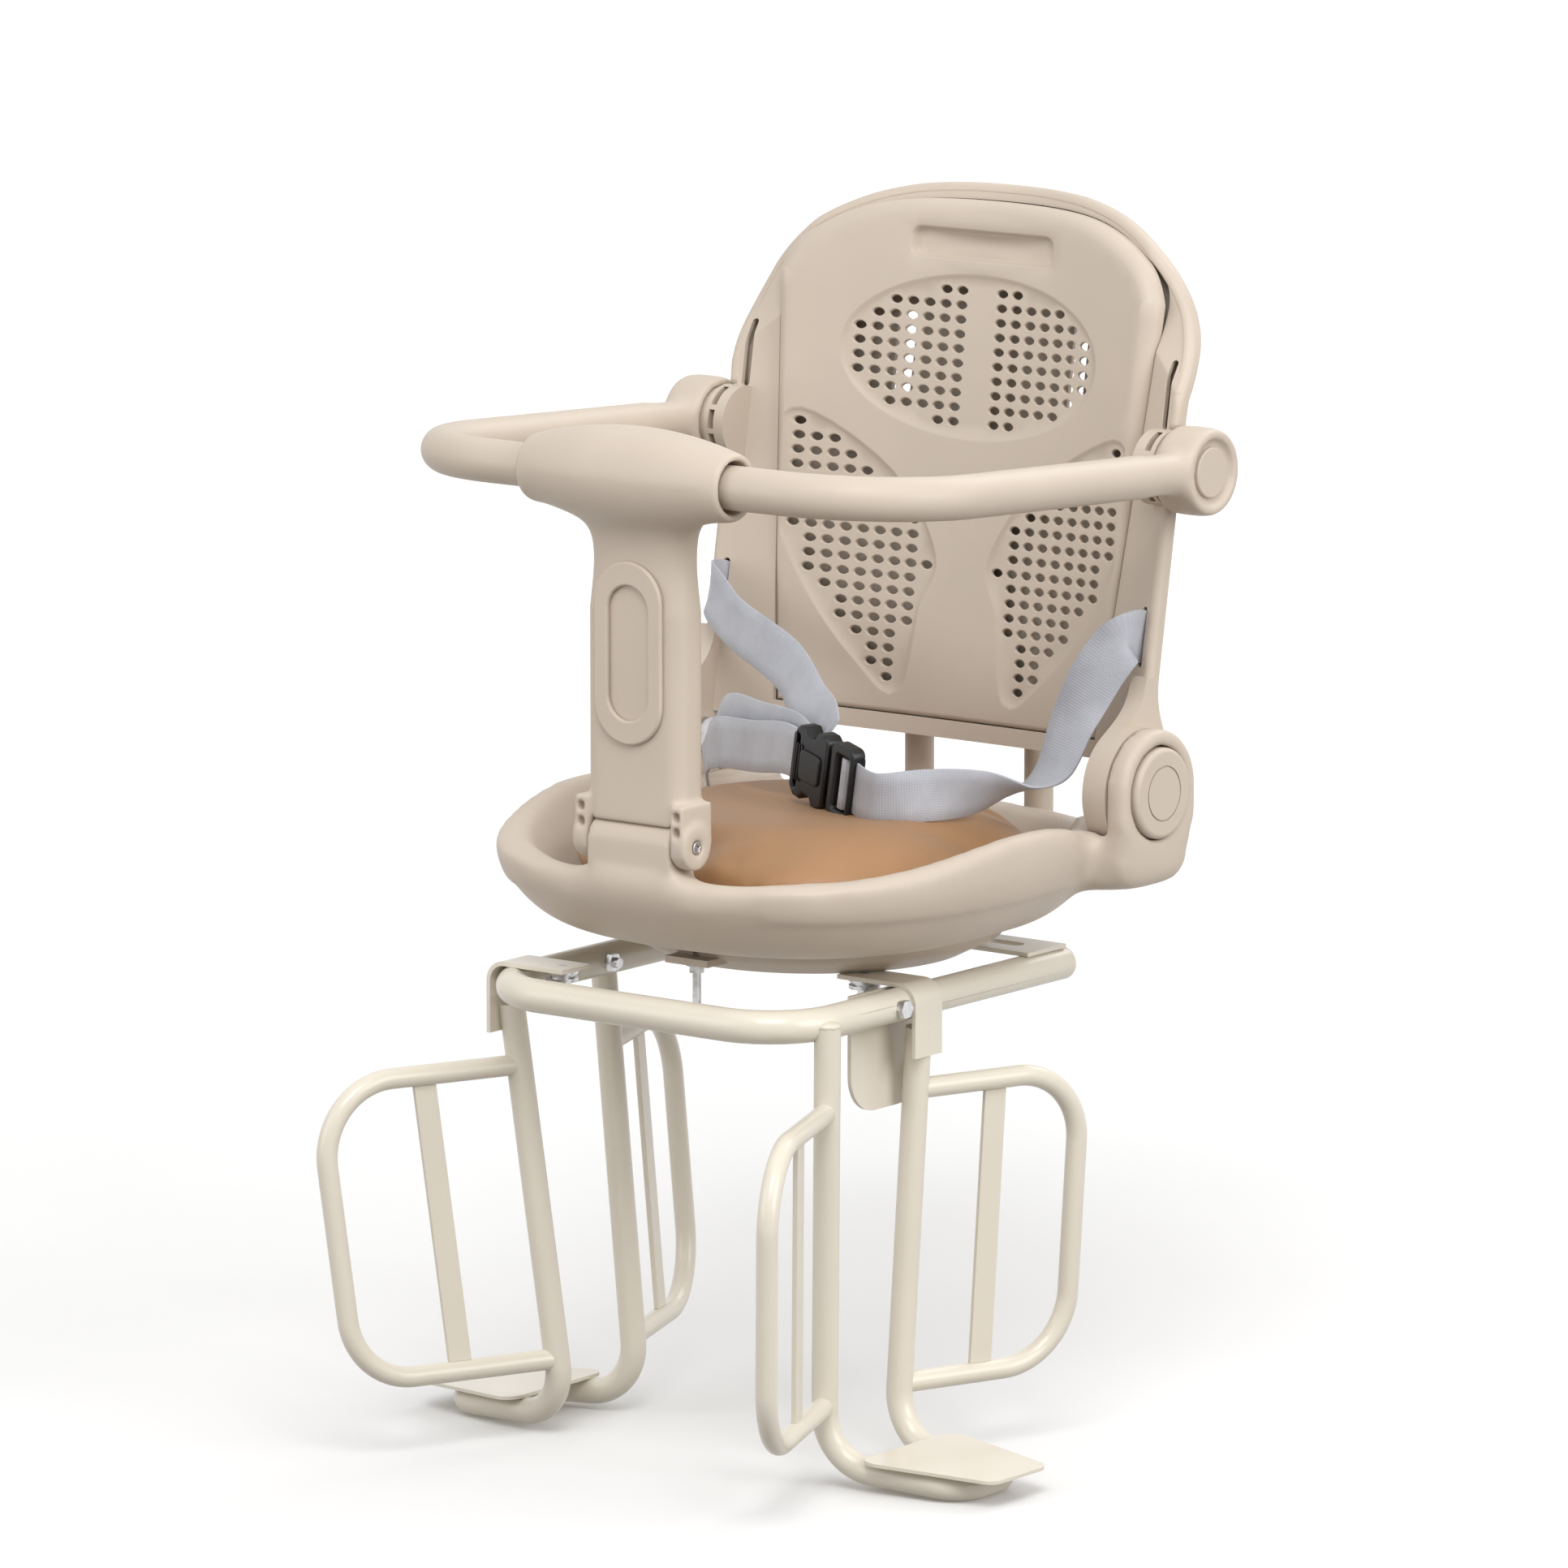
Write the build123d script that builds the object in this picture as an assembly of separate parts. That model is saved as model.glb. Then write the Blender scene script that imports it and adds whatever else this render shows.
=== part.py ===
from build123d import *
import math
import os

# Rear child seat for a bicycle, in millimetres.
# The child faces -Y, the child's left is +X, +Z is up.
# The origin is the middle of the steel base tube, on its axis plane.

# Steel base tube, bent to a U that opens to the rear
TUBE_D = 19.0
TUBE_HALF_W = 107.5
TUBE_FRONT_Y = -126.0
TUBE_REAR_Y = 138.0
TUBE_CORNER_R = 42.0
TUBE_END_R = 5.0
STEEL_T = 2.5

# Rear plate across the base tube, with the two rack bolt holes
PLATE_FRONT_Y = 94.0
PLATE_REAR_Y = 131.0
PLATE_LAP = 5.0
RACK_HOLE_SPACING = 64.0
RACK_HOLE_D = 6.6
PLATE_SLOT_L = 26.0
PLATE_SLOT_W = 9.0
PLATE_SLOT_X = 82.0

# Base pan between the steel and the shell
PAN_Y = 41.0
PAN_TOP_R = 112.0
PAN_BOTTOM_R = 88.0
PAN_HEIGHT = 16.0
PAN_RIM_H = 6.0
PAN_WALL = 4.0
PAN_HOLE_R = 30.0
TONGUE_HALF_W = 15.0
TONGUE_LENGTH = 36.0
TONGUE_OVERHANG = 6.0
TONGUE_T = 4.0

# Moulded seat shell: squared ovals stacked from the bottom to the rim
SEAT_Y = 30.0
RIM_HALF_W = 163.0
RIM_HALF_L = 165.0
RIM_FRONT_Z = 78.0
RIM_SIDE_Z = 96.0
RIM_SIDE_Y = 45.0
RIM_REAR_Z = 77.0
RIM_FRONT_RISE = 2.0
RIM_REAR_SAG = 3.0
OVAL_POWER = 2.5
UPRIGHT_SHARE = 0.8
FLANK_TUCK = 56.0
BELT_Z = 56.0
BELT_STEP = 2.0
FLOOR_Z = 52.0
FLOOR_HALF_W = 124.0
FLOOR_HALF_L = 126.0
LIP_T = 11.0
SHELL_WALL = 4.0

# Recline hinge, on both sides of the seat
HINGE_Y = 131.0
HINGE_Z = 106.0
EAR_R = 36.0
EAR_BOTTOM_Z = 51.0
EAR_OUTER_X = 178.0
EAR_T = 13.0
EAR_EDGE_R = 4.0
EAR_FOOT_R = 22.0
BRIDGE_IN_X = 112.0
BRIDGE_TOP_DROP = 21.6
BRIDGE_REAR_REACH = 27.0
DRUM_T = 15.5
DRUM_ROOM = 1.5
BODY_GAP = 0.5
HINGE_BOLT_R = 6.0
HINGE_HEAD_R = 10.0
HINGE_HEAD_T = 3.5
PIN_FIT = 0.05

# Recline release buttons in the ears
BUTTON_R = 26.0
BUTTON_GAP = 0.4
BUTTON_T = 7.5
BUTTON_TRAVEL = 4.0
BUTTON_PROUD = 2.5
BUTTON_EDGE_R = 3.0
BUTTON_DISC_R = 15.0
GROOVE = 1.0

# Backrest, drawn upright on the hinge axis and then leaned back
LEAN = 9.8
BACK_HALF_W = 160.0
BACK_WAIST_H = 205.0
BACK_TOP_H = 335.0
BACK_BOTTOM_H = 14.0
BACK_DISH = 36.0
BACK_TOP_SWEEP = 17.0
BACK_EDGE_T = 12.0
BACK_MID_T = 11.0
BACK_WALL = 3.0
BACK_EDGE_R = 4.0
ARM_TOP_H = 64.0
# Shares of the half width and of the rise from waist to top, along the arch of the backrest
ARCH = [(1.0, 0.27), (0.925, 0.54), (0.78, 0.746), (0.6, 0.877), (0.34, 0.965)]

# Perforated panel in the front of the backrest
PANEL_BOTTOM_H = 25.0
PANEL_BOTTOM_W = 115.0
PANEL_TOP_W = 136.0
PANEL_SHOULDER_SHARE = 0.87
PANEL_CORNER_H = 274.0
PANEL_TOP_H = 325.0
PANEL_T = 3.5
PANEL_GAP = 0.6
PANEL_DISH = 37.0
PANEL_SAG = 33.0
PANEL_LEAN = 3.0
PANEL_FLANGE_T = 3.0
PANEL_FLANGE_DEPTH = 5.0
RECESS_L = 100.0
RECESS_W = 17.0
RECESS_H = 298.0
RECESS_DEPTH = 5.0
RECESS_WALL = 2.0
FIELD_SINK = 1.0
OVAL_FIELD_H = 234.0
OVAL_FIELD_HALF_W = 88.0
OVAL_FIELD_HALF_H = 44.0
FIELD_MARGIN = 2.9
HOLE_FIRST_X = 14.3
HOLE_PITCH_X = 11.0
HOLE_PITCH_H = 8.4
HOLE_L = 6.6
HOLE_W = 4.6
# Outline of the left lower field of holes: distance from the middle and height
LEG_FIELD_OUTER = [(112, 192), (123, 168), (117, 126), (94, 86), (66, 56)]
LEG_FIELD_INNER = [(40, 40), (31, 88), (22, 118), (54, 162)]
REAR_SLOT_X = 62.0
REAR_SLOT_L = 55.0
REAR_SLOT_W = 12.0

# Slots in the wings of the backrest
WING_SLOT_X = 150.0
STRAP_SLOT_W = 3.6
STRAP_TUCK = 6.4
VENT_SLOT_W = 4.4
STRAP_SLOT_H = 86.0
STRAP_SLOT_L = 35.0
VENT_SLOT_H = 224.0
VENT_SLOT_L = 40.0

# Guard bar with its pivot hubs
BAR_D = 25.0
BAR_X = 176.0
BAR_FRONT_Y = -122.0
BAR_FRONT_Z = 300.0
BAR_CORNER_R = 73.0
HUB_DEPTH = 4.0
HUB_H = 183.0
HUB_R = 25.5
HUB_IN_X = 163.0
HUB_OUT_X = 189.0
HUB_EDGE_R = 3.0
SPIGOT_R = 20.0
SPIGOT_BOSS_R = 21.5
SPIGOT_BOSS_L = 14.0
SPIGOT_END_X = 172.0
SPIGOT_WINDOW_W = 4.0
SPIGOT_WINDOW_H = 11.0
CAP_RECESS_R = 19.0
CAP_RECESS_DEPTH = 4.0
CAP_R = 14.5
CAP_T = 2.6
CAP_EDGE_R = 1.0

# Front post with its T-shaped head
POST_HALF_W = 34.0
POST_FRONT_Y = -127.0
POST_REAR_Y = -99.0
POST_EDGE_R = 11.0
POST_PIN_Y = -117.0
POST_PIN_Z = 95.0
POST_PIN_R = 4.0
POST_WALL = 4.0
LUG_R = 13.0
LUG_IN_X = 29.4
LUG_OUT_X = 40.0
LUG_HEIGHT = 24.0
LUG_POCKET = 6.5
LUG_WEB = 2.0
BLOCK_GAP = 0.4
BLOCK_FLARE = 20.0
HEAD_HALF_L = 71.0
HEAD_MID_R = 28.5
HEAD_END_R = 18.5
HEAD_BORE_R = 15.0
NECK_FLARE = 20.0
NECK_H = 36.0
NECK_FRONT_IN = 2.0
NECK_REAR_IN = 4.0
TRIM_L = 103.0
TRIM_W = 47.0
TRIM_INNER_L = 76.0
TRIM_INNER_W = 28.0
TRIM_T = 3.0
TRIM_EDGE_R = 1.4
TRIM_Z = 202.0

# Leg guards
LEG_D = 15.0
LEG_TOP_X = 113.5
LEG_TOE_IN = 0.0787
LEG_FRONT_Y = -95.0
LEG_FRONT_LEAN = 0.093
LEG_REAR_Y = -9.4
LEG_REAR_LEAN = 0.022
HOOK_LEG_TOP_Z = -14.0
FOOT_Z = -256.0
FOOT_REACH = 88.0
FOOT_SLOPE = 0.05
FOOT_TAPER = 10.0
FOOT_BEND_R = 30.0
FOOT_TIP_R = 18.0
HOOK_W = 25.0
HOOK_REACH = 43.0
HOOK_DROP = 30.0
HOOK_HOLE_INSET = 10.0
HOOK_FIT = 0.05
LOOP_D = 12.0
LOOP_TOP_Z = -50.0
LOOP_HEIGHT = 172.0
FRONT_LOOP_OUT = 50.0
FRONT_LOOP_LENGTH = 119.0
REAR_LOOP_OUT = 39.0
REAR_LOOP_LENGTH = 104.0
LOOP_CORNER_R = 42.0
STRIP_W = 14.0
STRIP_T = 3.0
STRIP_SHARE = 0.48
FOOT_PLATE_T = 2.0
FOOT_PLATE_OVERHANG = 24.0
FOOT_PLATE_INNER_W = 92.0
FOOT_PLATE_OUTER_W = 52.0
FOOT_PLATE_CORNER_R = 10.0
SEAT_FIT = 0.02

# Rear rail, hanging side plate and fasteners
RAIL_D = 17.0
RAIL_X = 43.0
RAIL_Y = 199.0
RAIL_TOP_Z = 126.0
RAIL_FOOT_Z = 60.0
RAIL_BEND_R = 16.0
SOCKET_T = 22.0
SOCKET_REACH = 30.0
SOCKET_WALL = 5.5
SIDE_PLATE_FRONT_Y = -53.0
SIDE_PLATE_REAR_Y = 12.0
SIDE_PLATE_DROP = 60.0
SIDE_PLATE_RISE = 8.0
SIDE_PLATE_CORNER_R = 22.0
SIDE_BOLT_Y = -31.0
NUT_BOLT_FRONT_Y = -73.5
NUT_BOLT_REAR_Y = -22.0
BOLT_R = 3.0
BOLT_HEAD_R = 5.5
BOLT_HEAD_T = 4.0
BOLT_TAIL = 3.0
STUD_R = 2.5
STUD_LENGTH = 24.0
STUD_INSET = 4.0
NUT_R = 4.6
NUT_T = 4.0
FLANGE_R = 6.2
FLANGE_T = 1.5
WASHER_R = 9.0
SPACER_R = 7.0
WASHER_T = 2.0
STACK_H = 10.0

# Cushion and harness
CUSHION_HALF_W = 130.0
CUSHION_HALF_L = 127.0
CUSHION_Y = 33.0
CUSHION_EDGE_H = 20.0
CUSHION_SHOULDER_H = 26.0
CUSHION_CROWN_H = 38.0
CUSHION_CROWN_IN = 50.0
CUSHION_FOOT_IN = 14.0
CUSHION_SHOULDER_IN = 8.0
SOFT_GAP = 0.4
WEB_W = 30.0
WEB_T = 1.8
BUCKLE_CENTRE = (27.0, 24.0, 116.0)
BUCKLE_H = 44.0
BUCKLE_T = 12.0
BUCKLE_FEMALE_L = 32.0
BUCKLE_MALE_L = 22.0
BUCKLE_CORNER_R = 6.0
BUCKLE_WINDOW_L = 19.2
BUCKLE_WINDOW_IN = 12.8
BUCKLE_THROAT_L = 22.4
BUCKLE_TONGUE_L = 19.2
BUCKLE_TONGUE_T = 4.8
BUCKLE_SLOT_W = 4.5
BUCKLE_BAR_IN = 6.0
BUCKLE_GAP = 0.3

PLATE_MID_Y = (PLATE_FRONT_Y + PLATE_REAR_Y) / 2
PAN_BOTTOM_Z = TUBE_D / 2 + STEEL_T + 2 * HOOK_FIT
SHELL_BOTTOM_Z = PAN_BOTTOM_Z + PAN_HEIGHT
TONGUE_Z = PAN_BOTTOM_Z + PAN_RIM_H
STUD_Y = PAN_Y - PAN_TOP_R + STUD_INSET
EAR_INNER_X = EAR_OUTER_X - EAR_T
DRUM_OUT_X = EAR_INNER_X - BODY_GAP
DRUM_IN_X = DRUM_OUT_X - DRUM_T
BUTTON_FLOOR_X = EAR_OUTER_X + BUTTON_PROUD - BUTTON_T - BUTTON_TRAVEL - BODY_GAP
BLOCK_HALF_W = LUG_IN_X - BLOCK_GAP
BLOCK_ROOM = LUG_R + 2 * BLOCK_GAP
HOOK_HOLE_X = TUBE_HALF_W - HOOK_REACH + HOOK_HOLE_INSET
BACK = Location((0, HINGE_Y, HINGE_Z), (-LEAN, 0, 0))
PANEL_TILT = Rot(PANEL_LEAN, 0, 0)
SIDES = {"left": 1, "right": -1}
HOOK_Y = {1: LEG_REAR_Y, -1: LEG_FRONT_Y}
CROSS_BOLTS = [(1, SIDE_BOLT_Y), (-1, NUT_BOLT_FRONT_Y), (-1, NUT_BOLT_REAR_Y)]
FRONT_VIEW = Plane(origin=(0, 0, 0), x_dir=(1, 0, 0), z_dir=(0, -1, 0))
SIDE_VIEW = Plane(origin=(0, 0, 0), x_dir=(0, 1, 0), z_dir=(1, 0, 0))
BUCKLE_ALONG = Vector(0.958, -0.287, 0).normalized()
WING_UP = (0, math.sin(math.radians(LEAN)), math.cos(math.radians(LEAN)))
# How far cutting shapes reach past the part
PAST = 20.0
FAR = 60.0


def save(shape, name):
    export_step(shape, f"parts/{name}.step")


def rod(points, diameter, bend_r):
    """A round bar along straight runs, with one bend radius or one for each corner."""
    path = FilletPolyline(*points, radius=bend_r)
    start = Plane(origin=path @ 0, z_dir=path % 0)
    return sweep(start * Circle(diameter / 2), path=path)


def x_plane(x, y, z):
    return Plane((x, y, z), x_dir=(0, 1, 0), z_dir=(1, 0, 0))


def x_cylinder(radius, x0, x1, y, z):
    return x_plane(min(x0, x1), y, z) * extrude(Circle(radius), abs(x1 - x0))


def z_cylinder(radius, x, y, z0, z1):
    return Pos(x, y, z0) * extrude(Circle(radius), z1 - z0)


def hexagon(across_r, height):
    return extrude(RegularPolygon(across_r, 6), height)


def block(x0, x1, y0, y1, z0, z1):
    middle = Pos((x0 + x1) / 2, (y0 + y1) / 2, (z0 + z1) / 2)
    return middle * Box(abs(x1 - x0), abs(y1 - y0), abs(z1 - z0))


def oval(half_w, half_l, y, z):
    """A squared oval face at height z."""
    count = 16
    points = []
    for i in range(count):
        t = 2 * math.pi * (i + 0.5) / count
        c, s = math.cos(t), math.sin(t)
        x = half_w * math.copysign(abs(c) ** (2 / OVAL_POWER), c)
        points.append((x, y + half_l * math.copysign(abs(s) ** (2 / OVAL_POWER), s), z))
    return make_face(Spline(*points, periodic=True))


def mirrored(shape, side):
    return shape if side > 0 else mirror(shape, about=Plane.YZ)


def both(half):
    return half + mirror(half, about=Plane.YZ)


def front_prism(face, depth0, depth1):
    """A front view face drawn in X and Z, stretched from one depth in Y to another."""
    return FRONT_VIEW * Pos(0, 0, -depth1) * extrude(face, depth1 - depth0)


# Seat shell

def flank(z, step):
    """Section of the shell's outer wall: it tucks in below and stands upright at the rim."""
    share = min(1.0, (z - SHELL_BOTTOM_Z) / (RIM_SIDE_Z - SHELL_BOTTOM_Z) / UPRIGHT_SHARE)
    tuck = FLANK_TUCK * (1 - math.sqrt(1 - (1 - share) ** 2)) + step
    return oval(RIM_HALF_W - tuck, RIM_HALF_L - tuck, SEAT_Y, z)


def rim_cut():
    """What is cut away above the rim line, which is low in front and behind."""
    front = SEAT_Y - RIM_HALF_L - PAST
    rear = SEAT_Y + RIM_HALF_L + PAST
    top = RIM_SIDE_Z + PAST
    rim = Spline(
        (front, RIM_FRONT_Z),
        (SEAT_Y - 0.7 * RIM_HALF_L, RIM_FRONT_Z + RIM_FRONT_RISE),
        (RIM_SIDE_Y, RIM_SIDE_Z),
        (SEAT_Y + 0.5 * RIM_HALF_L, (RIM_SIDE_Z + RIM_REAR_Z) / 2 - RIM_REAR_SAG),
        (rear, RIM_REAR_Z),
        tangents=[(1, 0), (1, 0)],
    )
    lid = make_face([rim, Polyline((rear, RIM_REAR_Z), (rear, top), (front, top), (front, RIM_FRONT_Z))])
    wide = RIM_HALF_W + PAST
    return SIDE_VIEW * Pos(0, 0, -wide) * extrude(lid, 2 * wide)


def seat_shell():
    top = RIM_SIDE_Z + PAST / 4
    below = [SHELL_BOTTOM_Z, SHELL_BOTTOM_Z + (BELT_Z - SHELL_BOTTOM_Z) / 3, BELT_Z]
    above = [BELT_Z, (BELT_Z + RIM_FRONT_Z) / 2, RIM_FRONT_Z, top]
    shell = loft([flank(z, BELT_STEP) for z in below])
    shell += loft([flank(z, 0) for z in above])
    slope = (top - FLOOR_Z) / 3
    bowl = loft(
        [
            oval(FLOOR_HALF_W, FLOOR_HALF_L, SEAT_Y, FLOOR_Z),
            oval(FLOOR_HALF_W + 2 * LIP_T / 3, FLOOR_HALF_L + 2 * LIP_T / 3, SEAT_Y, FLOOR_Z + slope / 2),
            oval(RIM_HALF_W - LIP_T, RIM_HALF_L - LIP_T, SEAT_Y, top + 1),
        ]
    )
    shell -= bowl
    tuck = FLANK_TUCK + BELT_STEP + SHELL_WALL
    shell -= loft(
        [
            oval(RIM_HALF_W - tuck, RIM_HALF_L - tuck, SEAT_Y, SHELL_BOTTOM_Z - 1),
            oval(RIM_HALF_W - tuck / 1.5, RIM_HALF_L - tuck / 1.5, SEAT_Y, FLOOR_Z - SHELL_WALL),
        ]
    )
    shell -= rim_cut()
    shell += hinge_block()
    shell += rail_socket()
    head_x = DRUM_IN_X - 2 * BODY_GAP - HINGE_HEAD_T
    for side in SIDES.values():
        shell += mirrored(bridge() - bowl, side)
        shell -= x_cylinder(EAR_R + DRUM_ROOM, side * head_x, side * EAR_INNER_X, HINGE_Y, HINGE_Z)
        shell += mirrored(ear(), side)
        shell -= z_cylinder(RAIL_D / 2, side * RAIL_X, RAIL_Y, RAIL_FOOT_Z, RAIL_TOP_Z)
    return shell


def bridge():
    """The foot that carries an ear out from the shell, under the drum."""
    rear = HINGE_Y + BRIDGE_REAR_REACH
    high = HINGE_Z - BRIDGE_TOP_DROP
    return block(BRIDGE_IN_X, EAR_INNER_X + 1, HINGE_Y - EAR_R, rear, EAR_BOTTOM_Z, high)


def ear():
    drop = HINGE_Z - EAR_BOTTOM_Z
    outline = Pos(HINGE_Y, HINGE_Z) * Circle(EAR_R)
    outline += Pos(HINGE_Y, HINGE_Z - drop / 2) * RectangleRounded(2 * EAR_R, drop, EAR_FOOT_R)
    side = drop - EAR_FOOT_R
    outline += Pos(HINGE_Y, HINGE_Z - side / 2) * Rectangle(2 * EAR_R, side)
    slab = SIDE_VIEW * Pos(0, 0, EAR_INNER_X) * extrude(outline, EAR_T)
    slab = fillet(slab.faces().sort_by(Axis.X)[-1].edges(), EAR_EDGE_R)
    slab -= x_cylinder(BUTTON_R + BUTTON_GAP, BUTTON_FLOOR_X, EAR_OUTER_X + 1, HINGE_Y, HINGE_Z)
    return slab - x_cylinder(HINGE_BOLT_R + PIN_FIT, EAR_INNER_X - 1, EAR_OUTER_X, HINGE_Y, HINGE_Z)


def hinge_block():
    """The apron on the front of the shell, with the barrel that the post turns on."""
    barrel = x_cylinder(LUG_R, -BLOCK_HALF_W, BLOCK_HALF_W, POST_PIN_Y, POST_PIN_Z)
    low = (BLOCK_HALF_W + BLOCK_FLARE, BELT_Z)
    high = (BLOCK_HALF_W, POST_PIN_Z - LUG_R - BLOCK_GAP)
    side = Spline(low, high, tangents=[(-1, 0.4), (0, 1)])
    rest = Polyline(high, (BLOCK_HALF_W, POST_PIN_Z), (0, POST_PIN_Z), (0, BELT_Z), low)
    apron = front_prism(both(make_face([side, rest])), POST_PIN_Y - LUG_R, POST_PIN_Y + LUG_R)
    return barrel + apron - x_cylinder(POST_PIN_R, -LUG_OUT_X, LUG_OUT_X, POST_PIN_Y, POST_PIN_Z)


def rail_socket():
    half = RAIL_X + RAIL_D / 2 + SOCKET_WALL
    low = RAIL_FOOT_Z - SOCKET_T / 2
    return block(-half, half, RAIL_Y - SOCKET_REACH, RAIL_Y + RAIL_D / 2 + SOCKET_WALL, low, low + SOCKET_T)


# Base

def base_pan():
    profile = Polyline(
        (PAN_HOLE_R, PAN_BOTTOM_Z),
        (PAN_BOTTOM_R, PAN_BOTTOM_Z),
        (PAN_TOP_R - PAN_WALL, SHELL_BOTTOM_Z - PAN_RIM_H),
        (PAN_TOP_R, SHELL_BOTTOM_Z),
        (PAN_TOP_R - 2 * PAN_WALL, SHELL_BOTTOM_Z),
        (PAN_BOTTOM_R - PAN_WALL / 2, PAN_BOTTOM_Z + PAN_WALL),
        (PAN_HOLE_R, PAN_BOTTOM_Z + PAN_WALL),
        close=True,
    )
    pan = Pos(0, PAN_Y, 0) * revolve(Plane.XZ * make_face(profile), Axis.Z)
    front = PAN_Y - PAN_TOP_R - TONGUE_OVERHANG
    top = TONGUE_Z + TONGUE_T
    pan += block(-TONGUE_HALF_W, TONGUE_HALF_W, front, front + TONGUE_LENGTH, TONGUE_Z, top)
    for side in SIDES.values():
        bolt_room = RACK_HOLE_D / 2 + 1
        pan -= z_cylinder(bolt_room, side * RACK_HOLE_SPACING / 2, PLATE_MID_Y, 0, SHELL_BOTTOM_Z)
    return pan - z_cylinder(STUD_R, 0, STUD_Y, 0, SHELL_BOTTOM_Z)


def u_tube():
    run = [
        (-TUBE_HALF_W, TUBE_REAR_Y, 0),
        (-TUBE_HALF_W, TUBE_FRONT_Y, 0),
        (TUBE_HALF_W, TUBE_FRONT_Y, 0),
        (TUBE_HALF_W, TUBE_REAR_Y, 0),
    ]
    tube = rod(run, TUBE_D, TUBE_CORNER_R)
    tube = fillet(tube.faces().sort_by(Axis.Y)[-2:].edges(), TUBE_END_R)
    for side, y in CROSS_BOLTS:
        tube -= x_cylinder(BOLT_R, side * (TUBE_HALF_W - TUBE_D), side * (TUBE_HALF_W + TUBE_D), y, 0)
    return tube


def rear_plate():
    half = TUBE_HALF_W + PLATE_LAP
    low = TUBE_D / 2
    plate = block(-half, half, PLATE_FRONT_Y, PLATE_REAR_Y, low, low + STEEL_T)
    mid = PLATE_MID_Y
    slot = extrude(SlotOverall(PLATE_SLOT_L, PLATE_SLOT_W), TUBE_D)
    for side in SIDES.values():
        plate -= z_cylinder(RACK_HOLE_D / 2, side * RACK_HOLE_SPACING / 2, mid, 0, TUBE_D)
        plate -= Pos(side * PLATE_SLOT_X, mid, 0) * slot
    return plate


# Leg guards

def leg_point(y_top, lean, z):
    return Vector(LEG_TOP_X + LEG_TOE_IN * z, y_top - lean * z, z)


def leg_frame(side):
    """One bent tube: front leg, foot loop and rear leg, with one leg hooked over the base tube."""
    front_z, rear_z = (HOOK_LEG_TOP_Z, 0) if side < 0 else (0, HOOK_LEG_TOP_Z)
    front_foot = leg_point(LEG_FRONT_Y, LEG_FRONT_LEAN, FOOT_Z)
    rear_foot = leg_point(LEG_REAR_Y, LEG_REAR_LEAN, FOOT_Z)
    run = [
        leg_point(LEG_FRONT_Y, LEG_FRONT_LEAN, front_z),
        front_foot,
        front_foot + Vector(FOOT_REACH, FOOT_TAPER, -FOOT_SLOPE * FOOT_REACH),
        rear_foot + Vector(FOOT_REACH, -FOOT_TAPER, -FOOT_SLOPE * FOOT_REACH),
        rear_foot,
        leg_point(LEG_REAR_Y, LEG_REAR_LEAN, rear_z),
    ]
    frame = rod(run, LEG_D, [FOOT_BEND_R, FOOT_TIP_R, FOOT_TIP_R, FOOT_BEND_R])
    frame -= mirrored(BASE_TUBE, side)
    hook_y = HOOK_Y[side]
    wrap = TUBE_D / 2 + STEEL_T / 2 + HOOK_FIT
    over = FilletPolyline(
        (TUBE_HALF_W + wrap, hook_y, -HOOK_DROP),
        (TUBE_HALF_W + wrap, hook_y, wrap),
        (TUBE_HALF_W - HOOK_REACH, hook_y, wrap),
        radius=wrap - HOOK_FIT,
    )
    start = Plane(origin=over @ 0, x_dir=(0, 1, 0), z_dir=over % 0)
    hook = sweep(start * Rectangle(HOOK_W, STEEL_T), path=over)
    hook -= z_cylinder(STUD_R, HOOK_HOLE_X, hook_y, 0, SHELL_BOTTOM_Z)
    return mirrored(frame + hook, side)


def loop_run(end):
    """Corner points of a guard loop: end is -1 for the front loop and 1 for the rear one."""
    if end < 0:
        y_top, lean = LEG_FRONT_Y, LEG_FRONT_LEAN
        out = Vector(FRONT_LOOP_OUT, -FRONT_LOOP_LENGTH, 0)
    else:
        y_top, lean = LEG_REAR_Y, LEG_REAR_LEAN
        out = Vector(REAR_LOOP_OUT, REAR_LOOP_LENGTH, 0)
    top = leg_point(y_top, lean, LOOP_TOP_Z)
    low = leg_point(y_top, lean, LOOP_TOP_Z - LOOP_HEIGHT)
    return top, top + out, low + out, low


def guard_loop(side, end):
    loop = rod(loop_run(end), LOOP_D, LOOP_CORNER_R)
    return mirrored(loop - mirrored(LEG_FRAMES[side], side), side)


def guard_strip(side, end):
    top, top_out, low_out, low = loop_run(end)
    a = top + (top_out - top) * STRIP_SHARE
    b = low + (low_out - low) * STRIP_SHARE
    face = Plane(origin=a, x_dir=top_out - top, z_dir=b - a)
    strip = face * extrude(Rectangle(STRIP_W, STRIP_T), (b - a).length)
    return mirrored(strip - mirrored(LOOPS[side, end], side), side)


def foot_plate(side):
    front = leg_point(LEG_FRONT_Y, LEG_FRONT_LEAN, FOOT_Z)
    rear = leg_point(LEG_REAR_Y, LEG_REAR_LEAN, FOOT_Z)
    across = Vector(1, 0, -FOOT_SLOPE)
    lie = Plane(origin=(front + rear) / 2, x_dir=across, z_dir=across.cross(rear - front))
    inner = FOOT_BEND_R
    outer = FOOT_REACH + FOOT_PLATE_OVERHANG
    outline = Polyline(
        (inner, -FOOT_PLATE_INNER_W / 2),
        (outer, -FOOT_PLATE_OUTER_W / 2),
        (outer, FOOT_PLATE_OUTER_W / 2),
        (inner, FOOT_PLATE_INNER_W / 2),
        close=True,
    )
    plate = make_face(outline)
    plate = fillet(plate.vertices(), FOOT_PLATE_CORNER_R)
    return mirrored(lie * Pos(0, 0, LEG_D / 2 + SEAT_FIT) * extrude(plate, FOOT_PLATE_T), side)


# Small steel pieces

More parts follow.
